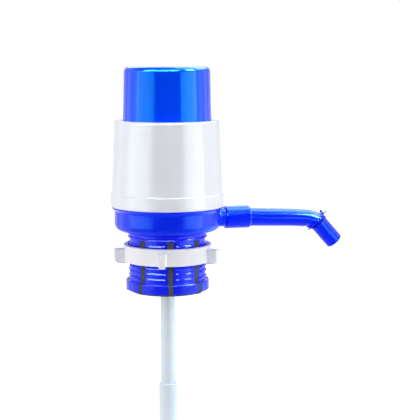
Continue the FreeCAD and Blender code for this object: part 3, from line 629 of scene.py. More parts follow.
# %% [markdown]
# The hub holds the top of the dip tube, and four posts take the screws of the deck. They are
# turned one by one, and the drilled bowl joins them in a single skin.

# %% Join the stub, hub, posts and bowl
hub_radius = 9.5
hub_bore = 6.6
hub_foot = -14.0
hub_top = 23.4
tube_seat = 8.0
post_circle = 36.85
post_radius = 3.6
post_foot = 8.0
base_shape = bmesh.new()
add_turned(base_shape, stub_outline, outlet, ALONG_SPOUT)
add_stub_fillet(base_shape, stub_radius, 1.3)
add_turned(base_shape, [
    (hub_bore, hub_foot, 0.4), (hub_radius, hub_foot, 1.0), (hub_radius, hub_top, 2.5), (0, hub_top, 0),
    (0, tube_seat, 0), (hub_bore, tube_seat, 0)])
for quarter in range(4):
    turn = math.radians(45 + 90 * quarter)
    post_axis = Vector((post_circle * math.cos(turn), post_circle * math.sin(turn), 0))
    add_turned(base_shape, [(0, post_foot, 0), (post_radius, post_foot, 0),
                            (post_radius, sleeve_foot, 0.3), (0, sleeve_foot, 0)], post_axis, turns=40)
bmesh.ops.recalc_face_normals(base_shape, faces=base_shape.faces)
base_shape.from_mesh(bowl_skin.data)
bpy.data.objects.remove(bowl_skin)
base_skin = make_piece("base_skin", base_shape)
set_piece(base_skin, base_blue, "base", "base_chamber")

# %% [markdown]
# ## The neck collar
# A head band snaps on the chamber, and eight fingers hang from it round the rubber sleeve. Each
# finger has fine ribs, a plain border beside its slots and a foot that steps outwards. The ribs
# have a steep flank below and a gentle one above, which catches the light as a thin line.

# %% Outline of a finger
finger_count = 8
collar_turn = 35.4
collar_bore = 30.3
collar_radius = 33.6
foot_reach = 36.9
foot_top = -37.8
collar_foot = -46.5
taper_foot = -39.0
head_foot = 0.7
slot_top = head_foot - 1.1
rib_count = 7
rib_pitch = 4.85
rib_thickness = 1.7
rib_rise = 1.2
lowest_rib = foot_top + 4.1
rib_shoulder = 0.6
rib_fade = 0.25
rib_crest_foot = 0.1
rib_crest_top = 0.5
foot_slant = 0.5
foot_drop = 0.8


def finger_outline(rise, trim):
    """Corners of a finger's section: rise is the height of the ribs, trim draws the edge in."""
    face = collar_radius - trim
    foot_face = foot_reach - trim
    corners = [(collar_bore, slot_top, 0), (face, slot_top, 0)]
    for number in reversed(range(rib_count)):
        low = lowest_rib - rib_thickness / 2 + rib_pitch * number
        high = low + rib_thickness
        corners += [(face, high + rib_fade, 0.1), (face + rise * rib_shoulder, high, 0.1),
                    (face + rise, low + rib_crest_top, 0.1), (face + rise, low + rib_crest_foot, 0.1),
                    (face, low, 0.05)]
    corners += [(face, foot_top, 0.3), (foot_face - foot_slant, foot_top, 0.15),
                (foot_face, foot_top - foot_drop, 0.2), (foot_face, taper_foot, 0),
                (foot_face, collar_foot, 0.8), (collar_bore, collar_foot, 0.6),
                (collar_bore, taper_foot, 0), (collar_bore, foot_top, 0)]
    return corners


print("a finger's outline has", len(finger_outline(rib_rise, 0)), "corners")

# %% [markdown]
# The slots have parallel sides, so a finger isn't a plain slice of a turned ring. It is skinned
# across its width from stations: each station is the same outline of radius and height, with the
# ribs faded at the borders and the edges drawn in a little so that they look rounded.

# %% Stations across a finger
slot_half_top = 2.95
slot_half_low = 2.2
slot_half_foot = 1.95
BORDER = 0.128
MIDDLE_STEPS = 12
# Each station is a share of the finger's width, a share of the ribs' rise and a trim of the edge.
BORDER_STATIONS = [(0, 0.03, 0.5), (0.008, 0.03, 0.16), (0.022, 0.03, 0), (0.094, 0.03, 0),
                   (0.112, 0.9, 0), (BORDER, 1, 0)]
STATIONS = list(BORDER_STATIONS)
STATIONS += [(BORDER + (1 - 2 * BORDER) * step / MIDDLE_STEPS, 1, 0) for step in range(1, MIDDLE_STEPS)]
STATIONS += [(1 - share, ribs, trim) for share, ribs, trim in reversed(BORDER_STATIONS)]


def slot_half_width(height):
    """Half the width of a slot, which narrows downwards and is narrowest between the feet."""
    if height >= foot_top:
        share = (height - foot_top) / (slot_top - foot_top)
        return slot_half_low + (slot_half_top - slot_half_low) * share
    if height >= taper_foot:
        share = (height - taper_foot) / (foot_top - taper_foot)
        return slot_half_foot + (slot_half_low - slot_half_foot) * share
    return slot_half_foot


print("a finger has", len(STATIONS), "stations")

# %% [markdown]
# With its stations a finger is skinned like a tube: each outline is a loop of points, and each
# loop is joined to the next. The first and the last loop are closed by one face each, which are
# the walls of the slots.

# %% Skin the fingers
finger_pitch = 360 / finger_count
collar_shape = bmesh.new()
for finger in range(finger_count):
    slot_angle = collar_turn + finger_pitch * finger
    loops = []
    for share, ribs, trim in STATIONS:
        loop = []
        for point in rounded(finger_outline(rib_rise * ribs, trim)):
            edge = math.degrees(math.asin(slot_half_width(point.y) / point.x))
            turn = math.radians(slot_angle + edge + share * (finger_pitch - 2 * edge))
            place = Vector((point.x * math.cos(turn), point.x * math.sin(turn), point.y))
            loop.append(collar_shape.verts.new(place * MM))
        loops.append(loop)
    for here, following in zip(loops, loops[1:]):
        bridge(collar_shape, here, following)
    collar_shape.faces.new(loops[0])
    collar_shape.faces.new(loops[-1])
print("the fingers have", len(collar_shape.faces), "faces")

# %% [markdown]
# The head above the slots goes all the way round. It has a bead at its foot, a waist, and a bead
# near its top, just under the skirt of the chamber. It is round, so it is turned.

# %% Turn the head
bead_reach = 35.4
waist_reach = 34.5
low_bead_foot = head_foot - 0.2
low_bead_top = head_foot + 1.1
waist_foot = head_foot + 1.3
waist_top = skirt_foot - 2.0
high_bead_foot = skirt_foot - 1.6
high_bead_top = skirt_foot - 1.2
head_top = skirt_foot + 0.1
add_turned(collar_shape, [
    (collar_bore, slot_top, 0), (collar_radius, slot_top, 0), (collar_radius, low_bead_foot, 0),
    (bead_reach, low_bead_foot, 0.1), (bead_reach, head_foot, 0.05),
    (bead_reach - 0.45, low_bead_top, 0.1), (waist_reach, waist_foot, 0.3),
    (waist_reach, waist_top, 0.3), (bead_reach, high_bead_foot, 0.15),
    (bead_reach, high_bead_top, 0.1), (bead_reach - 0.5, head_top, 0.1), (collar_bore, head_top, 0)])
collar_skin = make_piece("collar_skin", collar_shape)
set_piece(collar_skin, collar_blue, "base", "neck_collar")

# %% [markdown]
# Between the feet the rubber sleeve stands out and fills the slots. Each of these tongues is
# a short block that follows the slot. It reaches nearly flush with the feet, so its black also
# covers the side walls of the slot: partly real rubber, partly painted shade. Under the feet a
# low lip of rubber runs all the way round.

# %% Tongues of rubber between the feet, also painted shade in the slots
tongue_half = 1.93
# The tongue's sections from its root to its face, each with its reach, foot and top. The face
# stands nearly flush with the feet, so that its black also covers the slot's side walls as painted shade.
tongue_and_shade_sections = [(28.5, -47.4, -38.2), (36.2, -47.4, -38.2), (36.8, -46.9, -38.8)]
rubber_lip_bore = 29.4
rubber_lip_reach = 32.6
rubber_lip_foot = -48.4
rubber_lip_top = -46.6
tongue_and_slot_shade_shape = bmesh.new()
for finger in range(finger_count):
    turn = math.radians(collar_turn + finger_pitch * finger)
    outwards = Vector((math.cos(turn), math.sin(turn), 0))
    aside = Vector((-outwards.y, outwards.x, 0)) * tongue_half
    loops = []
    for reach, foot, top in tongue_and_shade_sections:
        corners = [outwards * reach + aside * side + UP * height
                   for side, height in ((-1, foot), (1, foot), (1, top), (-1, top))]
        loops.append([tongue_and_slot_shade_shape.verts.new(corner * MM) for corner in corners])
    for here, following in zip(loops, loops[1:]):
        bridge(tongue_and_slot_shade_shape, here, following)
    tongue_and_slot_shade_shape.faces.new(loops[0])
    tongue_and_slot_shade_shape.faces.new(loops[-1])
add_turned(tongue_and_slot_shade_shape, [
    (rubber_lip_bore, rubber_lip_foot, 0), (rubber_lip_reach, rubber_lip_foot, 0.5),
    (rubber_lip_reach, rubber_lip_top, 0.3), (rubber_lip_bore, rubber_lip_top, 0)])
# The tongues are real rubber, and also painted shade over the side walls of the slots.
tongues_and_slot_shade = make_piece("gasket_tongues_and_slot_shade", tongue_and_slot_shade_shape)
tongues_and_slot_shade.data.materials.append(black_rubber)
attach(tongues_and_slot_shade, "base")
print("tongues have", len(tongues_and_slot_shade.data.polygons), "faces")

# %% [markdown]
# ## The clamp ring
# The white ring is pushed down over the fingers to squeeze them on the bottle. Five lugs give the
# hand a hold. The hoop is turned, and each lug is a flat outline that is extruded and bevelled.
# Both are measured from the top and the foot of the hoop.

# %% Sizes of the clamp ring
ring_bore = 35.2
ring_radius = 39.2
ring_top = -6.2
ring_foot = -21.2
lug_root = 37.2
lug_end = 48.2
lug_top = ring_top - 2.9
lug_foot = ring_foot - 0.9
lug_taper = 3.0
lug_narrow = lug_foot + lug_taper
lug_narrowing = 1.1
lug_half_width = 3.35
lug_chamfer = 2.5
lug_edge = 0.5
print("the hoop is", round(ring_top - ring_foot, 1), "mm tall, a lug", round(lug_top - lug_foot, 1), "mm")

# %% [markdown]
# A lug gets narrower near its foot, so both of its sides bend along a line there. Each side is
# split into two faces along that line. Then the rims are bevelled, and the lug is turned about
# the axis to its place.

# %% A helper for lugs
BEVEL_FROM = math.radians(60)
ON_LINE = 1e-4


def lug_half(verts, points, above):
    """The corners of one side of a lug that are above or below the line where it narrows."""
    if above:
        return [vert for vert, point in zip(verts, points) if point.y >= lug_narrow - ON_LINE]
    return [vert for vert, point in zip(verts, points) if point.y <= lug_narrow + ON_LINE]


def add_lug(shape, turn):
    """Extrude the lug's side view, narrower near its foot, and round its edges."""
    slab = bmesh.new()
    points = rounded([
        (lug_root, lug_foot, 0), (lug_end - lug_chamfer, lug_foot, 0.3),
        (lug_end, lug_foot + lug_chamfer, 0.3), (lug_end, lug_narrow, 0), (lug_end, lug_top, 0.8),
        (lug_root, lug_top, 0), (lug_root, lug_narrow, 0)])
    sides = []
    for side in (-1, 1):
        verts = []
        for point in points:
            width = lug_half_width - lug_narrowing * max(0.0, (lug_narrow - point.y) / lug_taper)
            verts.append(slab.verts.new((point.x * MM, side * width * MM, point.y * MM)))
        sides.append(verts)
        for above in (False, True):
            slab.faces.new(lug_half(verts, points, above))
    bridge(slab, *sides)
    bmesh.ops.recalc_face_normals(slab, faces=slab.faces)
    rims = [edge for edge in slab.edges if edge.calc_face_angle(0) > BEVEL_FROM]
    bmesh.ops.bevel(slab, geom=rims, offset=lug_edge * MM, segments=3, profile=0.5, affect="EDGES")
    bmesh.ops.rotate(slab, verts=slab.verts, cent=(0, 0, 0),
                     matrix=Quaternion((0, 0, 1), math.radians(turn)).to_matrix())
    mesh = bpy.data.meshes.new("slab")
    slab.to_mesh(mesh)
    slab.free()
    shape.from_mesh(mesh)
    bpy.data.meshes.remove(mesh)


print("a lug is", 2 * lug_half_width, "mm wide and", round(2 * (lug_half_width - lug_narrowing), 1),
      "mm at its foot")

# %% [markdown]
# The hoop and its lugs go into one skin, since the ring is moulded in one piece. The lugs start
# inside the wall of the hoop, so no gap shows at their roots.

# %% Turn the hoop and add the lugs
lug_count = 5
lug_turn = 33.8
ring_shape = bmesh.new()
add_turned(ring_shape, [
    (ring_bore, ring_foot, 0.4), (ring_radius, ring_foot, 0.9), (ring_radius, ring_top, 0.9),
    (ring_bore, ring_top, 0.5)])
for number in range(lug_count):
    add_lug(ring_shape, lug_turn + 360 / lug_count * number)
set_piece(make_piece("ring_skin", ring_shape), ring_white, "clamp", "clamp_ring")

# %% [markdown]
# ## The spout
# The spout is a socket, a tube that tapers and bends down, and a flange at the slanted seam. A
# curve with a bevel could make the tube, but not its taper, its bore and its slanted end at once.
# So it is one skin of rings along a path. The path is straight at first, then bends gently, and
# then sharply near its end.

# %% Bends of the spout
socket_start = 53.2
socket_end = 76.2
start_slope = math.radians(2.5)
middle_slope = math.radians(6.3)
tip_slope = math.radians(30.0)
nozzle_slope = math.radians(48.0)
straight = 35.0
long_bend = 300.0
short_bend = 22.0
long_length = long_bend * (middle_slope - start_slope)
short_length = short_bend * (tip_slope - middle_slope)
path_length = straight + long_length + short_length
flange_thickness = 1.2
lean_length = 12.0
lean_end = path_length - flange_thickness / math.cos(nozzle_slope - tip_slope)
lean_start = lean_end - lean_length
droop = (socket_end - socket_start) / 2 * math.tan(start_slope)
print("the path is", round(path_length, 1), "mm long")

# %% [markdown]
# A walk along the path adds the straight run and the two arcs, and stops where it is told to. Near
# the end each ring leans a little more, until the last one lies in the seam's plane. A ring that
# leans is drawn longer, because a slanted cut through a round tube is an ellipse.

# %% Rings along the path
def path_at(distance):
    """Centre of the tube at a distance from the socket, and how steeply it slopes down there."""
    slope = start_slope
    start = min(distance, straight)
    across = socket_end + start * math.cos(slope)
    drop = droop + start * math.sin(slope)
    distance -= start
    for length, radius in ((long_length, long_bend), (short_length, short_bend)):
        run = min(distance, length)
        following = slope + run / radius
        across += radius * (math.sin(following) - math.sin(slope))
        drop += radius * (math.cos(slope) - math.cos(following))
        slope = following
        distance -= run
    return Vector((across, 0, outlet_height - drop)), slope


def slope_up(slope):
    """The direction square to the path, in the plane of the spout."""
    return Vector((math.sin(slope), 0, math.cos(slope)))


def tube_ring(distance, radius):
    """A ring of the tube. Over the last stretch it leans, until it is parallel to the seam."""
    centre, slope = path_at(distance)
    share = max(0.0, (distance - lean_start) / (lean_end - lean_start))
    lean = (nozzle_slope - slope) * share * share * (3 - 2 * share)
    return centre, Vector((0, radius, 0)), slope_up(slope + lean) * (radius / math.cos(lean))


seam = path_at(path_length)[0]
seam_up = slope_up(nozzle_slope)
nozzle_way = Vector((seam_up.z, 0, -seam_up.x))
print("seam at", [round(value, 1) for value in seam])

# %% [markdown]
# The skin runs outwards along the outside of the tube, over the flange and the spigot that holds
# the nozzle, and back through the bore. The socket overlaps the tube's root, with its mouth
# towards the stub.

# %% Skin the spout
socket_radius = 10.15
socket_bore = 7.6
socket_floor = socket_end - 3.0
flange_radius = 9.4
root_radius = 8.2
tip_radius = 7.7
bore_radius = 5.6
socket_throat = bore_radius + 0.2
tube_start = -1.5
taper_length = path_length + 7.5
TUBE_STEPS = 32
pipe_radius = 8.0
pipe_bore = 6.1
nozzle_offset = 1.3
nozzle_base = seam + seam_up * nozzle_offset
spigot_outside = pipe_bore - 0.1
spigot_inside = pipe_bore - 1.0
spigot_end = 4.5


def tube_radius(distance):
    """The tube tapers steadily from its root to a little past the seam."""
    return root_radius - (root_radius - tip_radius) * (distance - tube_start) / taper_length


stations = [tube_start + (lean_end - tube_start) * step / TUBE_STEPS for step in range(TUBE_STEPS + 1)]
tube_outside = [tube_ring(distance, tube_radius(distance)) for distance in stations]
flange_outside = turned_rings([
    (tip_radius + 0.1, -flange_thickness, 0), (flange_radius, -flange_thickness, 0.35),
    (flange_radius, 0, 0.35), (tip_radius, 0, 0)], seam, nozzle_way, closed=False)
spigot = turned_rings([
    (spigot_outside, 0, 0), (spigot_outside, spigot_end, 0.2), (spigot_inside, spigot_end, 0.2),
    (spigot_inside, -flange_thickness, 0)], nozzle_base, nozzle_way, closed=False)
tube_inside = [tube_ring(distance, bore_radius) for distance in reversed(stations)]
spout_shape = bmesh.new()
add_rings(spout_shape, tube_outside + flange_outside + spigot + tube_inside)
add_turned(spout_shape, [
    (socket_bore, socket_start, 0.1), (socket_radius, socket_start, 0.3),
    (socket_radius, socket_end, 1.8), (socket_throat, socket_end, 0),
    (socket_throat, socket_floor, 0), (socket_bore, socket_floor, 0)], outlet, ALONG_SPOUT)
set_piece(make_piece("spout_skin", spout_shape), spout_blue, "spout", "spout_tube")

# %% [markdown]
# ## The nozzle
# The nozzle is a short straight pipe that points down into the glass. It has a neck and a rim at
# the seam. Stacked cylinders could make it, but an outline keeps all its steps in one skin. It is
# turned about the nozzle's own axis, and distances start at the seam.

# %% Turn the nozzle
seal_end = 0.8
neck_radius = 7.1
neck_end = 2.6
pipe_rim_radius = 8.7
pipe_rim_end = 3.6
pipe_end = 27.2
nozzle_shape = bmesh.new()
add_turned(nozzle_shape, [
    (pipe_bore, seal_end, 0), (neck_radius, seal_end, 0.1), (neck_radius, neck_end, 0),
    (pipe_rim_radius, neck_end, 0.25), (pipe_rim_radius, pipe_rim_end, 0.3),
    (pipe_radius, pipe_rim_end, 0.3), (pipe_radius, pipe_end, 0.8), (pipe_bore, pipe_end, 0.3)],
    nozzle_base, nozzle_way)
set_piece(make_piece("nozzle_skin", nozzle_shape), spout_blue, "spout", "nozzle")

# %% [markdown]
# ## The tie
# A thin band sits in the neck of the nozzle. It is tied over the flange in a small knot with a
# round head, and the end of the tail sticks up. A curve object could make the strands, but one
# more use of the rings keeps them in the same skin as the band. A spline smooths the path
# through a few points, and smaller and smaller rings give it round ends.

# %% Helpers for a smooth path and its ends
def spline_point(before, start, finish, after, share):
    """A point of the smooth curve through four points, part of the way between the middle two."""
    return (start * 2 + (finish - before) * share
            + (before * 2 - start * 5 + finish * 4 - after) * share ** 2
            + (start * 3 - before - finish * 3 + after) * share ** 3) * 0.5


def round_end(centre, outwards, side, up, lifts):
    """Rings that close a strand with half a ball."""
    rings = []
    for lift in lifts:
        angle = math.radians(lift)
        rings.append((centre + outwards * math.sin(angle), side * math.cos(angle), up * math.cos(angle)))
    return rings


print("halfway from 0 to 1 the spline is at", spline_point(-1, 0, 1, 2, 0.5))

# %% [markdown]
# Now the strand itself. Its rings have to stand square to the path, and need one more direction
# to say where they start. Any direction that no strand runs along will do.

# %% Helpers for strands and knots
STRAND_TURNS = 20
STRAND_STEPS = 8
BALL_TURNS = 28
STRAND_SIDE = Vector((0.3, 0.2, 0.93))


def add_strand(shape, points, radii):
    """A tube through points, smoothed by a spline, with round ends."""
    path = []
    for index in range(len(points) - 1):
        before = points[max(index - 1, 0)]
        start, finish = points[index], points[index + 1]
        after = points[min(index + 2, len(points) - 1)]
        is_last = index == len(points) - 2
        for step in range(STRAND_STEPS + 1 if is_last else STRAND_STEPS):
            share = step / STRAND_STEPS
            radius = radii[index] + (radii[index + 1] - radii[index]) * share
            path.append((spline_point(before, start, finish, after, share), radius))
    rings = []
    for index, (centre, radius) in enumerate(path):
        way = (path[min(index + 1, len(path) - 1)][0] - path[max(index - 1, 0)][0]).normalized()
        side = way.cross(STRAND_SIDE).normalized()
        up = side.cross(way)
        if index == 0:
            rings += round_end(centre, -way * radius, side * radius, up * radius, (90, 60, 30))
        rings.append((centre, side * radius, up * radius))
        if index == len(path) - 1:
            rings += round_end(centre, way * radius, side * radius, up * radius, (30, 60, 90))
    add_rings(shape, rings, STRAND_TURNS, closed=False)


def add_ball(shape, centre, radius):
    """A small ball, turned from a half circle."""
    half_circle = [(radius * math.cos(math.radians(lift)), radius * math.sin(math.radians(lift)), 0)
                   for lift in range(-90, 91, 15)]
    add_rings(shape, turned_rings(half_circle, centre, UP, closed=False), BALL_TURNS, closed=False)


print("strands have", STRAND_TURNS, "sides, and a ball", BALL_TURNS)

# %% [markdown]
# The band, the strand over the flange, the knot and the short end below are one skin. Their points
# are given from the seam's centre, up the slant and along the nozzle, so they follow the joint.

# %% Band and knot
def on_seam(rise, along):
    """A point above the seam's centre by a rise up the slant, and along the nozzle."""
    return seam + seam_up * rise + nozzle_way * along


band_bore = 7.15
band_reach = 8.05
band_start = 0.95
band_end = 2.45
knot_rise = 10.05
tie_shape = bmesh.new()
add_turned(tie_shape, [(band_bore, band_start, 0.1), (band_reach, band_start, 0.3),
                       (band_reach, band_end, 0.3), (band_bore, band_end, 0.1)],
           nozzle_base, nozzle_way)
add_strand(tie_shape, [on_seam(9.0, 1.7), on_seam(9.8, 1.3), on_seam(10.1, 0.1), on_seam(10.1, -1.4),
                       on_seam(10.1, -2.7)], [0.6, 0.6, 0.65, 0.6, 0.6])
add_ball(tie_shape, on_seam(knot_rise, -2.7), 1.2)
add_strand(tie_shape, [on_seam(-6.6, 1.7), on_seam(-8.8, 1.75), on_seam(-10.6, 1.8)], [0.7, 0.6, 0.25])
set_piece(make_piece("tie_skin", tie_shape), tie_blue, "spout", "nozzle_tie")

# %% [markdown]
# The tail of the tie tapers and catches more light, so it is a piece of its own with a paler
# finish: a painted highlight.

# %% Tail
tail_foot = on_seam(knot_rise, 0)
tail_turn = math.radians(26)
tail_way = Vector((math.cos(tail_turn), 0, math.sin(tail_turn)))
tail_shape = bmesh.new()
add_strand(tail_shape, [tail_foot, tail_foot + tail_way * 1.5 + Vector((0, 0, -0.25)),
                        tail_foot + tail_way * 3.0 + Vector((0, 0, -0.15)), tail_foot + tail_way * 4.3],
           [0.62, 0.6, 0.55, 0.45])
set_piece(make_piece("tail_skin", tail_shape), tail_highlight_blue, "spout", "nozzle_tie")

# %% [markdown]
# ## The bellows
# The bellows lives inside the sleeve, between the deck and the cap, and shortens when the cap is
# pressed. It is blow moulded, so its folds have round crests and roots: one outline with a
# rounding at every fold. It can't follow a rigid body, so it rides on the base with a mesh of its
# own.

# %% Turn the bellows
bellows_foot = 30.0
bellows_top = 143.9
lower_flange_radius = 40.5
upper_flange_radius = 35.5
flange = 1.5
crest = 31.0
root = 24.5
skin = 0.9
folds = 9
fold_round = 1.0
half_fold = (bellows_top - bellows_foot - 2 * flange) / (2 * folds)
outside = []
inside = []
for number in range(1, 2 * folds):
    height = bellows_foot + flange + number * half_fold
    radius = crest if number % 2 else root + skin
    outside.append((radius, height, fold_round))
    inside.append((radius - skin, height, fold_round))
inside.reverse()
bellows_outline = [(root, bellows_foot, 0), (lower_flange_radius, bellows_foot, 0.3),
                   (lower_flange_radius, bellows_foot + flange, 0.3),
                   (root + skin, bellows_foot + flange, 0.8)]
bellows_outline += outside
bellows_outline += [(root + skin, bellows_top - flange, 0.8),
                    (upper_flange_radius, bellows_top - flange, 0.3),
                    (upper_flange_radius, bellows_top, 0.3), (root, bellows_top, 0)]
bellows_outline += inside
bellows_shape = bmesh.new()
add_turned(bellows_shape, bellows_outline, turns=96)
bellows_piece = make_piece("bellows_folds", bellows_shape)
set_piece(bellows_piece, bellows_skin, "base", "bellows")
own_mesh(bellows_piece)

# %% [markdown]
# ## The return spring
# The spring is a round wire wound at a steady pitch, from the deck to the roof of the cap. A Screw
# modifier could wind it, but its ends would stay open. Here each ring of the wire stands square to
# the helix, and a ring of no size closes each end. Like the bellows, it has a mesh of its own.

# %% Wind the spring
coil_radius = 12.0
wire = 0.9
coil_turns = 7
coil_foot = bellows_foot + wire
coil_length = roof - wire - coil_foot
rise = coil_length / coil_turns / (2 * math.pi)
STEPS_PER_TURN = 48
WIRE_TURNS = 16
NO_SIZE = Vector((0, 0, 0))
coil_rings = []
for step in range(coil_turns * STEPS_PER_TURN + 1):
    turn = 2 * math.pi * step / STEPS_PER_TURN
    outwards = Vector((math.cos(turn), math.sin(turn), 0))
    onwards = Vector((-coil_radius * math.sin(turn), coil_radius * math.cos(turn), rise)).normalized()
    centre = outwards * coil_radius + UP * (coil_foot + rise * turn)
    coil_rings.append((centre, outwards * wire, outwards.cross(onwards) * wire))
coil_rings.insert(0, (coil_rings[0][0], NO_SIZE, NO_SIZE))
coil_rings.append((coil_rings[-1][0], NO_SIZE, NO_SIZE))
spring_shape = bmesh.new()
add_rings(spring_shape, coil_rings, WIRE_TURNS, closed=False)
spring_piece = make_piece("spring_coil", spring_shape)
set_piece(spring_piece, steel, "base", "return_spring")
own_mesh(spring_piece)

# %% [markdown]
# ## The camera
# The camera stands a good metre away and a little above the pump, and looks slightly down on it
# with a long lens. The pump is off to the left of the picture, because the spout needs the room.

# %% Camera
camera_bearing = -104
camera_distance = 1.085
camera_height = 0.1594
aim_aside = 1.525
aim_down = 7.14
camera_data = bpy.data.cameras.new("camera")
camera_data.lens = 105.6
camera_data.sensor_width = 36
camera_data.clip_end = 80
camera = bpy.data.objects.new("camera", camera_data)
camera_turn = math.radians(camera_bearing)
camera.location = (camera_distance * math.cos(camera_turn), camera_distance * math.sin(camera_turn),
                   camera_height)
look_turn = math.radians(camera_bearing + 180 - aim_aside)
look_down = math.radians(-aim_down)
look = Vector((math.cos(look_down) * math.cos(look_turn), math.cos(look_down) * math.sin(look_turn),
               math.sin(look_down)))
camera.rotation_euler = look.to_track_quat("-Z", "Y").to_euler()
bpy.context.scene.collection.objects.link(camera)
bpy.context.scene.camera = camera
print("camera at", [round(value, 3) for value in camera.location])

# %% [markdown]
# ## The light
# Two soft boxes beside the pump and one above light all of it at a plain level. The other lamps
# only show in the gloss. Lamps are used instead of a picture of a studio, because each can be
# moved until its reflection is in the right place.

# %% A helper for soft boxes
DAYLIGHT = (0.88, 0.94, 1.0)
SKY = (0.25, 0.50, 1.0)
POOL = (0.0, 0.50, 1.0)
WHITE = (1, 1, 1)
AIM_HEIGHT = 0.05


def soft_box(name, turn, distance, height, width, tall, strength, reflection=None):
    """An area lamp that faces the pump's axis. One with a reflection colour only shows in gloss."""
    lamp = bpy.data.lights.new(name, "AREA")
    lamp.color = reflection or WHITE
    lamp.shape = "RECTANGLE"
    lamp.size = width
    lamp.size_y = tall
    lamp.energy = strength * math.pi * width * tall
    box = bpy.data.objects.new(name, lamp)
    angle = camera_turn + math.radians(turn)
    box.location = (distance * math.cos(angle), distance * math.sin(angle), height)
    aim = UP * AIM_HEIGHT - box.location
    box.rotation_euler = aim.to_track_quat("-Z", "Y").to_euler()
    box.visible_diffuse = reflection is None
    box.visible_camera = False
    bpy.context.scene.collection.objects.link(box)


print("lamps aim at", AIM_HEIGHT, "m above the bottle's lip")

# %% [markdown]
# A glossy blue cylinder mirrors its surroundings as upright bands. Two large windows stand left
# and right of the camera, with a gap between them that leaves the middle of the cap deep blue. Two
# narrower ones stand further round, beside the pump. Windows of a bluer light above give the spout
# its bright upper side, and a low one puts a paler band low on the bowl. Three small bright ones
# draw fine lines on the ribs of the collar.

# %% Soft boxes and windows
# Turns are in degrees from the camera's side, distances, heights and sizes in metres.
soft_box("left_box", -70.0, 1.2, 0.12, 1.2, 1.4, 1.7)
soft_box("right_box", 74.0, 1.2, 0.12, 1.2, 1.4, 1.9)
soft_box("top_box", 0, 0.25, 1.3, 1.6, 1.2, 1.2)
soft_box("left_window", -60.0, 2.4, 0.05, 2.45, 2.6, 6.0, DAYLIGHT)
soft_box("right_window", 59.0, 2.4, -0.05, 2.10, 0.80, 8.8, DAYLIGHT)
soft_box("left_side", -106.0, 1.1, 0.12, 0.72, 1.4, 1.5, DAYLIGHT)
soft_box("right_side", 106.0, 1.1, 0.12, 0.80, 1.4, 1.5, DAYLIGHT)
soft_box("front_window", 0, 0.65, 1.0, 1.8, 0.5, 12.0, SKY)
soft_box("top_window", 115, 0.77, 1.2, 0.95, 1.3, 26.0, SKY)
soft_box("back_window", 170, 1.1, 1.0, 1.8, 0.75, 10.0, SKY)
soft_box("low_window", 92.7, 0.51, -0.42, 0.9, 0.6, 6.0, POOL)
soft_box("left_glint", -29.0, 0.80, 0.58, 1.20, 0.40, 64.0, WHITE)
soft_box("middle_glint", 18.0, 0.80, 0.58, 0.44, 0.40, 64.0, WHITE)
soft_box("right_glint", 71.0, 0.80, 0.58, 0.40, 0.40, 100.0, WHITE)
print("lamps:", len(bpy.data.lights))

# %% [markdown]
# ## The sky
# The sky is white where the camera, a reflection or a clear part looks at it, and gentler where
# it only lights the pump, so that the white sleeve keeps its form. The Light Path node tells
# those rays apart, and the floor uses the same two helpers.

# %% Helpers for light that depends on the ray
SEEING_RAYS = ("Is Camera Ray", "Is Glossy Ray", "Is Transmission Ray")


def seen_directly(tree):
    """1 for rays that see the background, and 0 for rays that only gather light."""
    path = tree.nodes.new("ShaderNodeLightPath")
    total = None
    for ray in SEEING_RAYS:
        if total is None:
            total = path.outputs[ray]
            continue
        add = tree.nodes.new("ShaderNodeMath")
        add.operation = "MAXIMUM"
        tree.links.new(total, add.inputs[0])
        tree.links.new(path.outputs[ray], add.inputs[1])
        total = add.outputs["Value"]
    return total


def scaled(tree, value, low, high):
    """Map 0 and 1 onto two strengths."""
    span = tree.nodes.new("ShaderNodeMapRange")
    span.inputs["To Min"].default_value = low
    span.inputs["To Max"].default_value = high
    tree.links.new(value, span.inputs["Value"])
    return span.outputs["Result"]


print("rays that see the light itself:", SEEING_RAYS)

# %% [markdown]
# The world has one shader, a plain white Background. Its strength comes from those helpers, and
# not from a picture of a sky, so that nothing in it can be mistaken for a stain on the sleeve.

# %% World
SKY_LIGHT = 0.32
world = bpy.data.worlds.new("white studio")
world.use_nodes = True
sky_tree = world.node_tree
sky = sky_tree.nodes["Background"]
sky.inputs["Color"].default_value = (1, 1, 1, 1)
sky_tree.links.new(scaled(sky_tree, seen_directly(sky_tree), SKY_LIGHT, 1.0), sky.inputs["Strength"])
bpy.context.scene.world = world
print("the sky lights the pump at", SKY_LIGHT)

# %% [markdown]
# ## The floor
# The floor is plain and pale, level with the lower end of the dip tube. It glows where it is seen,
# so that it melts into the sky, and it only reaches the pump as the light that it bounces.

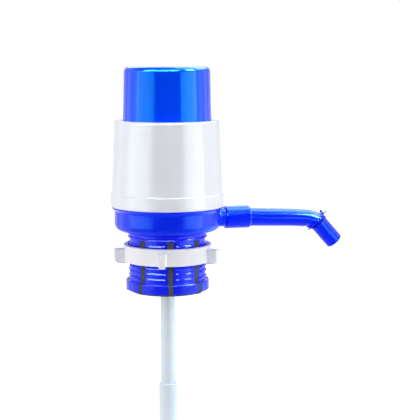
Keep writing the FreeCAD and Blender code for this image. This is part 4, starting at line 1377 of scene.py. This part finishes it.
# %% Floor
FLOOR_GLOW = 0.8
FLOOR_HALF = 30.0
floor_height = nodes["dip_tube_lower"].bound_box[0][2]
floor_shape = bmesh.new()
floor_shape.faces.new([floor_shape.verts.new((x * FLOOR_HALF, y * FLOOR_HALF, floor_height))
                       for x, y in ((-1, -1), (1, -1), (1, 1), (-1, 1))])
floor_mesh = bpy.data.meshes.new("floor")
floor_shape.to_mesh(floor_mesh)
floor_shape.free()
floor = bpy.data.objects.new("floor", floor_mesh)
bpy.context.scene.collection.objects.link(floor)
floor_white = bpy.data.materials.new("pale floor")
floor_white.use_nodes = True
floor_tree = floor_white.node_tree
floor_shader = floor_tree.nodes["Principled BSDF"]
floor_shader.inputs["Base Color"].default_value = (0.85, 0.85, 0.85, 1)
floor_shader.inputs["Roughness"].default_value = 0.9
floor_shader.inputs["Emission Color"].default_value = (1, 1, 1, 1)
floor_tree.links.new(scaled(floor_tree, seen_directly(floor_tree), 0.0, FLOOR_GLOW),
                     floor_shader.inputs["Emission Strength"])
floor_mesh.materials.append(floor_white)
print("floor at", round(floor_height, 4), "m")

# %% [markdown]
# Seen from below, the floor would hide the pump. So its underside is made clear: the Geometry node
# tells which side a ray meets, and a mix picks between the pale plastic and a transparent shader.

# %% A floor that is clear from below
met_side = floor_tree.nodes.new("ShaderNodeNewGeometry")
clear = floor_tree.nodes.new("ShaderNodeBsdfTransparent")
one_sided = floor_tree.nodes.new("ShaderNodeMixShader")
floor_tree.links.new(met_side.outputs["Backfacing"], one_sided.inputs[0])
floor_tree.links.new(floor_shader.outputs["BSDF"], one_sided.inputs[1])
floor_tree.links.new(clear.outputs["BSDF"], one_sided.inputs[2])
floor_tree.links.new(one_sided.outputs["Shader"], floor_tree.nodes["Material Output"].inputs["Surface"])
print("the floor's material has", len(floor_tree.nodes), "nodes")

# %% [markdown]
# Standard view keeps the colours as they were mixed, where a film-like view would dull the blues.

bpy.context.scene.view_settings.view_transform = "Standard"
bpy.context.view_layer.update()
